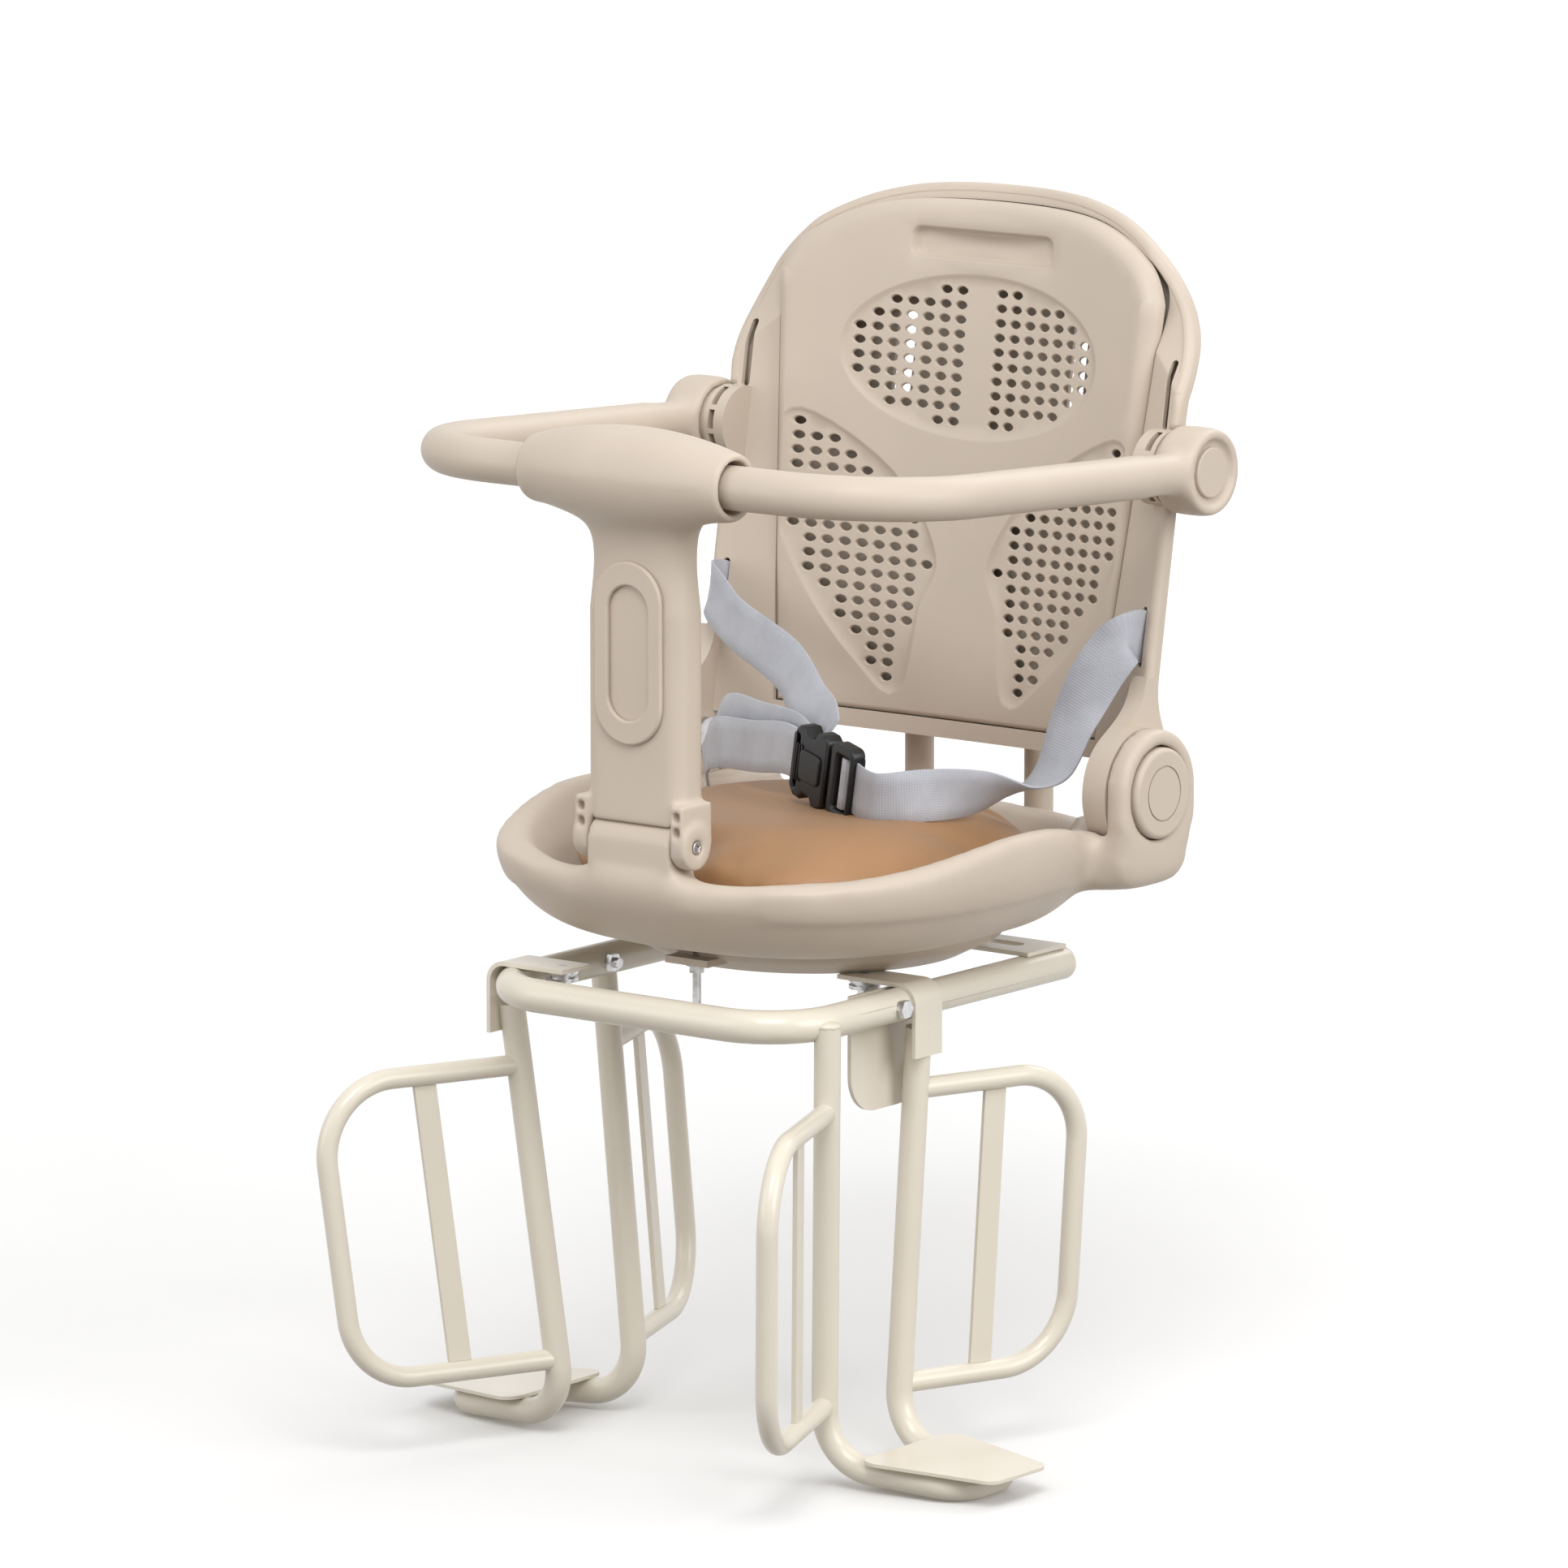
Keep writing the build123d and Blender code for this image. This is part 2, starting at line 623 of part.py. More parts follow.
def side_plate():
    x = TUBE_HALF_W - TUBE_D / 2 - STEEL_T - SEAT_FIT
    long = SIDE_PLATE_REAR_Y - SIDE_PLATE_FRONT_Y
    tall = SIDE_PLATE_DROP + SIDE_PLATE_RISE
    middle = Pos((SIDE_PLATE_FRONT_Y + SIDE_PLATE_REAR_Y) / 2, SIDE_PLATE_RISE - tall / 2)
    outline = middle * Rectangle(long, tall)
    outline = fillet(outline.vertices().sort_by(Axis.Y)[:2], SIDE_PLATE_CORNER_R)
    plate = SIDE_VIEW * Pos(0, 0, x) * extrude(outline, STEEL_T)
    return plate - x_cylinder(BOLT_R, x - 1, x + 2 * STEEL_T, SIDE_BOLT_Y, 0)


def rear_rail():
    run = [
        (-RAIL_X, RAIL_Y, RAIL_FOOT_Z),
        (-RAIL_X, RAIL_Y, RAIL_TOP_Z),
        (RAIL_X, RAIL_Y, RAIL_TOP_Z),
        (RAIL_X, RAIL_Y, RAIL_FOOT_Z),
    ]
    return rod(run, RAIL_D, RAIL_BEND_R)


def cross_bolts():
    bolts = []
    for side, y in CROSS_BOLTS:
        stack = STEEL_T + 2 * SEAT_FIT if side > 0 else 0
        inner = TUBE_HALF_W - TUBE_D / 2 - stack
        outer = TUBE_HALF_W + TUBE_D / 2
        bolt = x_cylinder(BOLT_R, inner - NUT_T - BOLT_TAIL, outer, y, 0)
        bolt += x_plane(outer, y, 0) * hexagon(BOLT_HEAD_R, BOLT_HEAD_T)
        bolt += x_plane(inner - NUT_T, y, 0) * hexagon(BOLT_HEAD_R, NUT_T)
        bolts.append(mirrored(bolt, side))
    return Compound(bolts)


def hook_bolts():
    """Studs under the pan with a stack of washers below each hook."""
    bolts = []
    for side in SIDES.values():
        x, y = side * HOOK_HOLE_X, HOOK_Y[side]
        high = TUBE_D / 2 + HOOK_FIT
        stud = z_cylinder(STUD_R, x, y, high - STACK_H, PAN_BOTTOM_Z)
        for level, radius in enumerate((WASHER_R, SPACER_R, WASHER_R)):
            top = high - level * WASHER_T
            stud += z_cylinder(radius, x, y, top - WASHER_T, top)
        stud += Pos(x, y, high - STACK_H) * hexagon(NUT_R, NUT_T)
        bolts.append(stud)
    return Compound(bolts)


def front_stud():
    stud = z_cylinder(STUD_R, 0, STUD_Y, TONGUE_Z - STUD_LENGTH, TONGUE_Z + TONGUE_T)
    stud += z_cylinder(FLANGE_R, 0, STUD_Y, TONGUE_Z - FLANGE_T, TONGUE_Z)
    stud += Pos(0, STUD_Y, TONGUE_Z - FLANGE_T - NUT_T) * hexagon(NUT_R, NUT_T)
    return stud


def hinge_bolt(side):
    inner = DRUM_IN_X - BODY_GAP
    bolt = x_cylinder(HINGE_BOLT_R, inner, BUTTON_FLOOR_X, HINGE_Y, HINGE_Z)
    bolt += x_cylinder(HINGE_HEAD_R, inner - HINGE_HEAD_T, inner, HINGE_Y, HINGE_Z)
    return mirrored(bolt, side)


def post_pin():
    return x_cylinder(POST_PIN_R, -LUG_OUT_X, LUG_OUT_X - LUG_WEB, POST_PIN_Y, POST_PIN_Z)


def recline_button(side):
    outer = EAR_OUTER_X + BUTTON_PROUD
    button = x_cylinder(BUTTON_R, outer - BUTTON_T, outer, HINGE_Y, HINGE_Z)
    button = fillet(button.faces().sort_by(Axis.X)[-1].edges(), BUTTON_EDGE_R)
    ring = x_cylinder(BUTTON_DISC_R + GROOVE, outer - GROOVE, outer + 1, HINGE_Y, HINGE_Z)
    ring -= x_cylinder(BUTTON_DISC_R, outer - 2 * GROOVE, outer + 2, HINGE_Y, HINGE_Z)
    return mirrored(button - ring, side)


def seat_cushion():
    base = FLOOR_Z + SOFT_GAP
    rings = []
    levels = [
        (CUSHION_FOOT_IN, 0),
        (0, CUSHION_EDGE_H),
        (CUSHION_SHOULDER_IN, CUSHION_SHOULDER_H),
        (CUSHION_CROWN_IN, CUSHION_CROWN_H),
    ]
    for inset, rise in levels:
        rings.append(oval(CUSHION_HALF_W - inset, CUSHION_HALF_L - inset, CUSHION_Y, base + rise))
    return loft(rings)


# Backrest

def before(edge, mid, low, high):
    """Everything in front of a dished face, given its depth at the edges and in the middle."""
    wide = BACK_HALF_W + BACK_WALL
    arc = ThreePointArc((-wide, edge), (0, mid), (wide, edge))
    rest = Polyline((wide, edge), (wide, -FAR), (-wide, -FAR), (-wide, edge))
    return Pos(0, 0, low) * extrude(make_face([arc, rest]), high - low)


def before_sweep(depth):
    """Everything in front of a face that is upright below and set back above the shoulders."""
    waist = (depth, BACK_WAIST_H)
    corner = (depth + BACK_TOP_SWEEP, PANEL_CORNER_H)
    top = BACK_TOP_H + FAR
    sweep_back = Spline(waist, corner, tangents=[(0, 1), (0, 1)])
    above = Polyline(corner, (corner[0], top), (-FAR, top), (-FAR, -FAR), (depth, -FAR), waist)
    wide = BACK_HALF_W + BACK_WALL
    return SIDE_VIEW * Pos(0, 0, -wide) * extrude(make_face([sweep_back, above]), 2 * wide)


def before_frame(depth):
    """Everything in front of the frame's front face, moved back by a depth."""
    return before(depth, BACK_DISH + depth, -FAR, BACK_TOP_H + FAR) + before_sweep(depth)


def before_cover(depth):
    """Everything in front of the frame's rear face, moved back by a depth."""
    cover = before(BACK_EDGE_T + depth, BACK_DISH + BACK_MID_T + depth, -FAR, BACK_TOP_H + FAR)
    return cover + before_sweep(BACK_EDGE_T + depth)


def back_outline(inset):
    """Front view of the backrest frame, upright on the hinge axis."""
    wide = BACK_HALF_W - inset
    top = BACK_TOP_H - inset
    low = BACK_BOTTOM_H + inset
    rise = top - BACK_WAIST_H
    bend = [(across * wide, BACK_WAIST_H + up * rise) for across, up in ARCH]
    arch = Spline((wide, BACK_WAIST_H), *bend, (0, top), tangents=[(0, 1), (-1, 0)])
    foot = Polyline((0, top), (0, low), (wide, low), (wide, BACK_WAIST_H))
    return both(make_face([arch, foot]))


def panel_outline(grow):
    top = PANEL_TOP_H + grow
    low = PANEL_BOTTOM_H - grow
    foot = (PANEL_BOTTOM_W + grow, low)
    corner = (PANEL_TOP_W + grow, PANEL_CORNER_H)
    shoulder = (PANEL_SHOULDER_SHARE * PANEL_TOP_W + grow, (PANEL_CORNER_H + top) / 2)
    arch = Spline(corner, shoulder, (0, top), tangents=[(0.02, 1), (-1, 0)])
    return both(make_face([arch, Polyline((0, top), (0, low), foot, corner)]))


def on_rim(edge):
    """Whether an edge of the backrest lies along its sides or on its arch."""
    return abs((edge @ 0.5).X) > BACK_HALF_W - 1 or edge.bounding_box().max.Z > BACK_WAIST_H + 1


def backrest_frame():
    deep = BACK_DISH + BACK_MID_T + FAR
    body = front_prism(back_outline(0), -FAR, deep) & before_cover(0)
    body -= before_frame(0)
    body = fillet([edge for edge in body.edges() if on_rim(edge)], BACK_EDGE_R)
    hollow = front_prism(back_outline(BACK_WALL), -FAR, deep) & before_cover(-BACK_WALL)
    body -= hollow - before_frame(BACK_WALL)
    mouth = before_frame(BACK_WALL + 1)
    body -= front_prism(panel_outline(PANEL_GAP), -FAR, deep) & mouth
    for side in SIDES.values():
        strap_slot = SlotOverall(STRAP_SLOT_L, STRAP_SLOT_W, rotation=90)
        vent_slot = SlotOverall(VENT_SLOT_L, VENT_SLOT_W, rotation=90)
        for h, slot in ((STRAP_SLOT_H, strap_slot), (VENT_SLOT_H, vent_slot)):
            body -= front_prism(Pos(side * WING_SLOT_X, h) * slot, -FAR, deep) & mouth
        rear_slot = SlotOverall(REAR_SLOT_L, REAR_SLOT_W, rotation=90)
        rear_slot = front_prism(Pos(side * REAR_SLOT_X, OVAL_FIELD_H) * rear_slot, BACK_DISH / 2, deep)
        body -= rear_slot - mouth
        body += mirrored(back_arm(), side)
        body += mirrored(spigot(), side)
        body -= x_cylinder(HINGE_BOLT_R + PIN_FIT, side * BRIDGE_IN_X, side * EAR_OUTER_X, 0, 0)
    return BACK * body


def back_arm():
    """The drum on the hinge axis and the arm that runs up into the wing."""
    drum = x_cylinder(EAR_R, DRUM_IN_X, DRUM_OUT_X, 0, 0)
    up = [(0, 1), (0, 1)]
    front = Spline((-EAR_R, 0), (0, ARM_TOP_H), tangents=up)
    rear = Spline((EAR_R, 0), (BACK_EDGE_T, ARM_TOP_H), tangents=up)
    outline = make_face([front, rear, Line(front @ 1, rear @ 1), Line(rear @ 0, front @ 0)])
    arm = SIDE_VIEW * Pos(0, 0, DRUM_IN_X) * extrude(outline, BACK_HALF_W - DRUM_IN_X)
    return drum + arm


def spigot():
    """The round stub that a hub of the guard bar turns on, with its detent windows."""
    root = BACK_HALF_W - SPIGOT_BOSS_L
    stub = x_cylinder(SPIGOT_BOSS_R, root, BACK_HALF_W, HUB_DEPTH, HUB_H)
    stub += x_cylinder(SPIGOT_R - PIN_FIT, BACK_HALF_W, SPIGOT_END_X, HUB_DEPTH, HUB_H)
    stub -= x_cylinder(SPIGOT_R - BACK_WALL, BACK_HALF_W, SPIGOT_END_X + 1, HUB_DEPTH, HUB_H)
    x1 = BACK_HALF_W - BACK_WALL
    half = SPIGOT_WINDOW_H / 2
    deep = HUB_DEPTH - SPIGOT_BOSS_R
    for row in (-1, 0, 1):
        z = HUB_H + row * (SPIGOT_WINDOW_H + BACK_WALL)
        stub -= block(x1 - SPIGOT_WINDOW_W, x1, deep - 1, HUB_DEPTH - BACK_WALL, z - half, z + half)
    return stub


def hole_pattern(field):
    """Hexagonal slots on a grid with a blank band in its middle, kept clear of the field's edge."""
    inside = offset(field, -FIELD_MARGIN).face()
    box = inside.bounding_box()
    hexagon_hole = Polyline(
        (-HOLE_L / 2, 0),
        (-HOLE_L / 4, HOLE_W / 2),
        (HOLE_L / 4, HOLE_W / 2),
        (HOLE_L / 2, 0),
        (HOLE_L / 4, -HOLE_W / 2),
        (-HOLE_L / 4, -HOLE_W / 2),
        close=True,
    )
    hole = make_face(hexagon_hole)
    columns = [HOLE_FIRST_X + i * HOLE_PITCH_X for i in range(int(PANEL_TOP_W // HOLE_PITCH_X))]
    low = int((box.min.Y - OVAL_FIELD_H) // HOLE_PITCH_H)
    high = int((box.max.Y - OVAL_FIELD_H) // HOLE_PITCH_H)
    holes = []
    for row in range(low, high + 1):
        h = OVAL_FIELD_H + (row + 0.5) * HOLE_PITCH_H
        for x in [-x for x in columns] + columns:
            if inside.is_inside(Vector(x, h, 0)):
                holes.append(Pos(x, h) * hole)
    return holes


def before_panel(depth):
    """Everything in front of the panel's dished face, which stands steeper than the wings."""
    mid = PANEL_DISH + depth
    return PANEL_TILT * before(mid - PANEL_SAG, mid, -FAR, BACK_TOP_H + FAR)


def back_panel():
    deep = BACK_DISH + BACK_MID_T + FAR
    outline = panel_outline(0)
    panel = front_prism(outline, -FAR, deep) & before_panel(PANEL_T)
    ring = outline - panel_outline(-PANEL_FLANGE_T)
    panel += front_prism(ring, -FAR, deep) & before_frame(PANEL_FLANGE_DEPTH)
    recess = Pos(0, RECESS_H) * RectangleRounded(RECESS_L, RECESS_W, RECESS_W / 3)
    pocket = offset(recess, RECESS_WALL)
    panel += front_prism(pocket, -FAR, deep) & before_panel(RECESS_DEPTH + RECESS_WALL)
    panel -= before_panel(0)
    panel -= front_prism(recess, -FAR, deep) & before_panel(RECESS_DEPTH)
    oval_field = Pos(0, OVAL_FIELD_H) * Ellipse(OVAL_FIELD_HALF_W, OVAL_FIELD_HALF_H)
    leg_field = make_face(Spline(*LEG_FIELD_OUTER, *LEG_FIELD_INNER, periodic=True))
    fields = [oval_field, leg_field, mirror(leg_field, about=Plane.YZ)]
    skim = before_panel(FIELD_SINK)
    for field in fields:
        panel -= front_prism(field, -FAR, deep) & skim
    holes = []
    for field in fields:
        holes += hole_pattern(field)
    panel -= [front_prism(hole, -FAR, deep) for hole in holes]
    return BACK * panel


# Guard bar and front post

def hub_centre():
    turn = math.radians(LEAN)
    y = HINGE_Y + HUB_DEPTH * math.cos(turn) + HUB_H * math.sin(turn)
    z = HINGE_Z - HUB_DEPTH * math.sin(turn) + HUB_H * math.cos(turn)
    return y, z


def guard_bar():
    hub_y, hub_z = hub_centre()
    run = [
        (-BAR_X, hub_y, hub_z),
        (-BAR_X, BAR_FRONT_Y, BAR_FRONT_Z),
        (BAR_X, BAR_FRONT_Y, BAR_FRONT_Z),
        (BAR_X, hub_y, hub_z),
    ]
    bar = rod(run, BAR_D, BAR_CORNER_R)
    for side in SIDES.values():
        hub = x_cylinder(HUB_R, HUB_IN_X, HUB_OUT_X, hub_y, hub_z)
        hub = fillet(hub.faces().sort_by(Axis.X)[-1].edges(), HUB_EDGE_R)
        bar += mirrored(hub, side)
        bore_end = side * (SPIGOT_END_X + BODY_GAP)
        bar -= x_cylinder(SPIGOT_R, side * BACK_HALF_W, bore_end, hub_y, hub_z)
        recess = side * (HUB_OUT_X - CAP_RECESS_DEPTH)
        bar -= x_cylinder(CAP_RECESS_R, recess, side * (HUB_OUT_X + BAR_D), hub_y, hub_z)
    return bar


def hub_cap(side):
    hub_y, hub_z = hub_centre()
    seat = HUB_OUT_X - CAP_RECESS_DEPTH
    cap = x_cylinder(CAP_R, seat, seat + CAP_T, hub_y, hub_z)
    return mirrored(fillet(cap.faces().sort_by(Axis.X)[-1].edges(), CAP_EDGE_R), side)


def post_head():
    """The barrel that the guard bar lies in, fatter in its middle."""
    curve = Spline((-HEAD_HALF_L, HEAD_END_R), (0, HEAD_MID_R), (HEAD_HALF_L, HEAD_END_R))
    ends = Polyline(curve @ 1, (HEAD_HALF_L, 0), (-HEAD_HALF_L, 0), curve @ 0)
    return Pos(0, BAR_FRONT_Y, BAR_FRONT_Z) * revolve(make_face([curve, ends]), Axis.X)


def post_neck():
    low = (POST_HALF_W, BAR_FRONT_Z - NECK_H)
    high = (POST_HALF_W + NECK_FLARE, BAR_FRONT_Z - HEAD_BORE_R)
    flare = Spline(low, high, tangents=[(0, 1), (1, 0.3)])
    rest = Polyline(high, (high[0], BAR_FRONT_Z), (0, BAR_FRONT_Z), (0, low[1]), low)
    outline = both(make_face([flare, rest]))
    return front_prism(outline, POST_FRONT_Y + NECK_FRONT_IN, POST_REAR_Y - NECK_REAR_IN)


def post_lug():
    """One ear of the post's hinge, cored out in front as two pockets with a web between."""
    lug = x_cylinder(LUG_R, LUG_IN_X, LUG_OUT_X, POST_PIN_Y, POST_PIN_Z)
    front = POST_PIN_Y - LUG_R
    high = POST_PIN_Z + LUG_HEIGHT
    lug += block(LUG_IN_X, LUG_OUT_X - LUG_WEB, front, POST_REAR_Y - LUG_WEB, POST_PIN_Z, high)
    x0 = LUG_IN_X + LUG_WEB
    for low in (POST_PIN_Z + POST_PIN_R + LUG_WEB, POST_PIN_Z + POST_PIN_R + 2 * LUG_WEB + LUG_POCKET):
        lug -= block(x0, LUG_OUT_X - 2 * LUG_WEB, front - 1, front + LUG_POCKET, low, low + LUG_POCKET)
    return lug


def front_post():
    shaft = block(-POST_HALF_W, POST_HALF_W, POST_FRONT_Y, POST_REAR_Y, POST_PIN_Z, BAR_FRONT_Z)
    shaft = fillet(shaft.edges().filter_by(Axis.Z), POST_EDGE_R)
    post = shaft + post_neck() + post_head()
    post -= x_cylinder(BLOCK_ROOM, -LUG_IN_X, LUG_IN_X, POST_PIN_Y, POST_PIN_Z)
    gap_top = POST_PIN_Z + POST_WALL
    post -= block(-LUG_IN_X, LUG_IN_X, POST_FRONT_Y - 1, POST_REAR_Y + 1, POST_PIN_Z - LUG_R, gap_top)
    post -= x_cylinder(HEAD_BORE_R, -HEAD_HALF_L - 1, HEAD_HALF_L + 1, BAR_FRONT_Y, BAR_FRONT_Z)
    for side in SIDES.values():
        post += mirrored(post_lug(), side)
    return post - x_cylinder(POST_PIN_R + PIN_FIT, -LUG_OUT_X, LUG_OUT_X, POST_PIN_Y, POST_PIN_Z)


def post_trim():
    face = SlotOverall(TRIM_L, TRIM_W, rotation=90) - SlotOverall(TRIM_INNER_L, TRIM_INNER_W, rotation=90)
    ring = FRONT_VIEW * Pos(0, TRIM_Z, -POST_FRONT_Y) * extrude(face, TRIM_T)
    return fillet(ring.faces().sort_by(Axis.Y)[0].edges(), TRIM_EDGE_R)


# Harness

def back_point(x, depth, height):
    return (BACK * Pos(x, depth, height)).position


def webbing(route):
    """A flat strap through points, each with the direction of the strap's width there."""
    points = [Vector(*point) for point, _ in route]
    last = len(points) - 1
    sections = []
    for i, (_, width) in enumerate(route):
        along = (points[min(i + 1, last)] - points[max(i - 1, 0)]).normalized()
        across = Vector(*width)
        across = across - along * across.dot(along)
        sections.append(Plane(points[i], x_dir=across, z_dir=along) * Rectangle(WEB_W, WEB_T))
    return loft(sections, ruled=True)


def buckle_end(end, before_it):
    """A place on the buckle's axis just outside it: end is -1 on the child's right, 1 on the left."""
    reach = before_it + BUCKLE_GAP + (BUCKLE_FEMALE_L if end < 0 else BUCKLE_MALE_L)
    return Vector(*BUCKLE_CENTRE) + BUCKLE_ALONG * (end * reach)


def strap_left():
    """From the left wing's slot down to the cushion and across to the buckle."""
    slot = back_point(WING_SLOT_X, STRAP_TUCK, STRAP_SLOT_H)
    mouth = back_point(WING_SLOT_X - 1, -3 * BACK_WALL, STRAP_SLOT_H - 2)
    return webbing(
        [
            (slot, WING_UP),
            (mouth, (0.15, 0.1, 1)),
            ((138, 127, 174), (-0.74, -0.35, 0.52)),
            ((126, 119, 145), (-1, -0.1, -0.1)),
            ((118, 110, 116), (-1, 0.2, 0)),
            ((110, 92, 106), (-0.85, 0.45, -0.25)),
            ((97, 62, 108), (-0.35, 0.1, -0.9)),
            ((82, 34, 111), (0, 0, -1)),
            (buckle_end(1, WEB_W / 2), (0, 0, -1)),
            (buckle_end(1, 0), (0, 0, -1)),
        ]
    )


def strap_shoulder():
    """From the right wing's slot over the lap to the top of the buckle."""
    slot = back_point(-WING_SLOT_X, STRAP_TUCK, STRAP_SLOT_H)
    mouth = back_point(-WING_SLOT_X, -2 * BACK_WALL, STRAP_SLOT_H)
    return webbing(
        [
            (slot, WING_UP),
            (mouth, WING_UP),
            ((-122, 124, 176), (0.1, 0.1, 1)),
            ((-63, 98, 160), (0.4, 0.15, 0.9)),
            ((-20, 62, 146), (0.7, 0.1, 0.7)),
            ((2, 47, 143), (0.9, -0.2, 0.35)),
        ]
    )


def strap_waist():
    """From the right side of the seat to the buckle."""
    return webbing(
        [
            ((-122, 98, 96), (0, 0, 1)),
            ((-113, 90, 107), (0.1, 0.1, 1)),
            ((-92, 74, 113), (0, 0, 1)),
            ((-48, 50, 116), (0, 0, 1)),
            (buckle_end(-1, WEB_W / 2), (0, 0, 1)),
            (buckle_end(-1, 0), (0, 0, 1)),
        ]
    )


def buckle_plane():
    return Plane(BUCKLE_CENTRE, x_dir=BUCKLE_ALONG, z_dir=Vector(BUCKLE_ALONG.Y, -BUCKLE_ALONG.X, 0))


def buckle_female():
    long = BUCKLE_FEMALE_L
    outline = Pos(-long / 2, 0) * RectangleRounded(long, BUCKLE_H, BUCKLE_CORNER_R)
    for end in SIDES.values():
        window = RectangleRounded(BUCKLE_WINDOW_L, 2 * BUCKLE_CORNER_R, BUCKLE_CORNER_R / 2)
        outline -= Pos(-BUCKLE_WINDOW_IN, end * BUCKLE_H / 2) * window
    body = extrude(outline, BUCKLE_T / 2, both=True)
    body -= block(-BUCKLE_THROAT_L, 1, -WEB_W / 2, WEB_W / 2, -BUCKLE_T / 4, BUCKLE_T / 4)
    return buckle_plane() * body


def buckle_male():
    long = BUCKLE_MALE_L
    outline = Pos(long / 2, 0) * RectangleRounded(long - BODY_GAP, BUCKLE_H, BUCKLE_CORNER_R)
    bar_x = long - BUCKLE_BAR_IN
    for slot_x in (bar_x - BUCKLE_SLOT_W, bar_x + BUCKLE_SLOT_W / 2):
        outline -= Pos(slot_x, 0) * Rectangle(BUCKLE_SLOT_W / 2, WEB_W + 1)
    body = extrude(outline, BUCKLE_T / 2, both=True)
    thick = BUCKLE_TONGUE_T / 2
    tongue = block(-BUCKLE_TONGUE_L, BUCKLE_SLOT_W, -WEB_W / 3, WEB_W / 3, -thick, thick)
    return buckle_plane() * (body + tongue)


os.makedirs("parts", exist_ok=True)

BASE_TUBE = u_tube()
save(BASE_TUBE, "base_tube")
save(rear_plate(), "rear_plate")
LEG_FRAMES = {side: leg_frame(side) for side in SIDES.values()}
LOOPS = {(side, end): guard_loop(side, end) for side in SIDES.values() for end in (-1, 1)}
for name, side in SIDES.items():
    save(LEG_FRAMES[side], f"leg_frame_{name}")
    save(foot_plate(side), f"foot_plate_{name}")
    save(hinge_bolt(side), f"hinge_bolt_{name}")
    save(recline_button(side), f"recline_button_{name}")
    save(hub_cap(side), f"hub_cap_{name}")
    for place, end in (("front", -1), ("rear", 1)):
        save(LOOPS[side, end], f"{place}_loop_{name}")
        save(guard_strip(side, end), f"{place}_strip_{name}")
save(side_plate(), "side_plate")
save(rear_rail(), "rear_rail")
save(cross_bolts(), "cross_bolts")
save(hook_bolts(), "hook_bolts")
save(front_stud(), "front_stud")
save(post_pin(), "post_pin")
save(base_pan(), "base_pan")
save(seat_shell(), "seat_shell")
save(seat_cushion(), "seat_cushion")
save(backrest_frame(), "backrest_frame")
save(back_panel(), "back_panel")
save(guard_bar(), "guard_bar")
save(front_post(), "front_post")
save(post_trim(), "post_trim")
save(strap_left(), "strap_left")
save(strap_shoulder(), "strap_shoulder")
save(strap_waist(), "strap_waist")
save(buckle_female(), "buckle_female")
save(buckle_male(), "buckle_male")
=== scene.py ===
import math

import bmesh
import bpy
import numpy as np
from mathutils import Matrix, Vector
from mathutils.geometry import delaunay_2d_cdt


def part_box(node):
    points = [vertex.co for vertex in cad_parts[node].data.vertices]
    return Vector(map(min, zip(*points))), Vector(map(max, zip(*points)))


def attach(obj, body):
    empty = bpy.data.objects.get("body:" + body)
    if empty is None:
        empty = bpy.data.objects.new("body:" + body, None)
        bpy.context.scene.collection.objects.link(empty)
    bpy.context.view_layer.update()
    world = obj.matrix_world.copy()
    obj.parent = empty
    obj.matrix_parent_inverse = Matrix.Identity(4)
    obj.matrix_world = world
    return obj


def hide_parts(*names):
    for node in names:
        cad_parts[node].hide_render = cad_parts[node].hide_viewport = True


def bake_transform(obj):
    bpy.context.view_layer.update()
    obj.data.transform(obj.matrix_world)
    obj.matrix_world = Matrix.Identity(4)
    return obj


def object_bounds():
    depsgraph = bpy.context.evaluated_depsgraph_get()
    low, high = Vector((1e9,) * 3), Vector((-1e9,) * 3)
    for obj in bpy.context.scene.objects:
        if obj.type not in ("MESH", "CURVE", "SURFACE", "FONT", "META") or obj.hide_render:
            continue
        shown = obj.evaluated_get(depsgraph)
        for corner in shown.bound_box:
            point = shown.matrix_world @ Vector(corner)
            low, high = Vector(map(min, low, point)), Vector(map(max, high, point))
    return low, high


MM = 0.001

# The photograph's viewpoint: the camera's azimuth, elevation and distance, and the point it looks at
VIEW_AZIMUTH = math.radians(37.5)
VIEW_ELEVATION = math.radians(10.0)
VIEW_DISTANCE = 6.0
VIEW_TARGET = Vector((-0.0051, 0.0199, 0.1072))
VIEW_FAR = 100.0
SENSOR = 36.0
FOCAL = 243.0

# Hinges, hubs and pin, taken over from the part's source; lengths are in millimetres down to the screw's
HINGE_Y, HINGE_Z = 131.0, 106.0
HUB_Y, HUB_Z = 166.09, 285.65
POST_PIN_Y, POST_PIN_Z = -117.0, 95.0

# Pocket of a recline button: its radius, its floor, and the width of the corner that is kept square
BUTTON_BORE_R, BUTTON_FLOOR_X, BUTTON_CORNER = 27.2, 166.9, 4.5

# Lip of the bucket: its height along the seat, and the depths below it between which the smoothing fades
LIP_Y, LIP_Z = (-155, -85, 45, 112, 215), (78, 80, 96, 84, 77)
LIP_NONE, LIP_FULL = 16.0, 10.0
LIP_EAR_X, LIP_EAR_R, LIP_BLOCK_HALF_W, LIP_BLOCK_Y = 108.0, 44.0, 36.0, -95.0

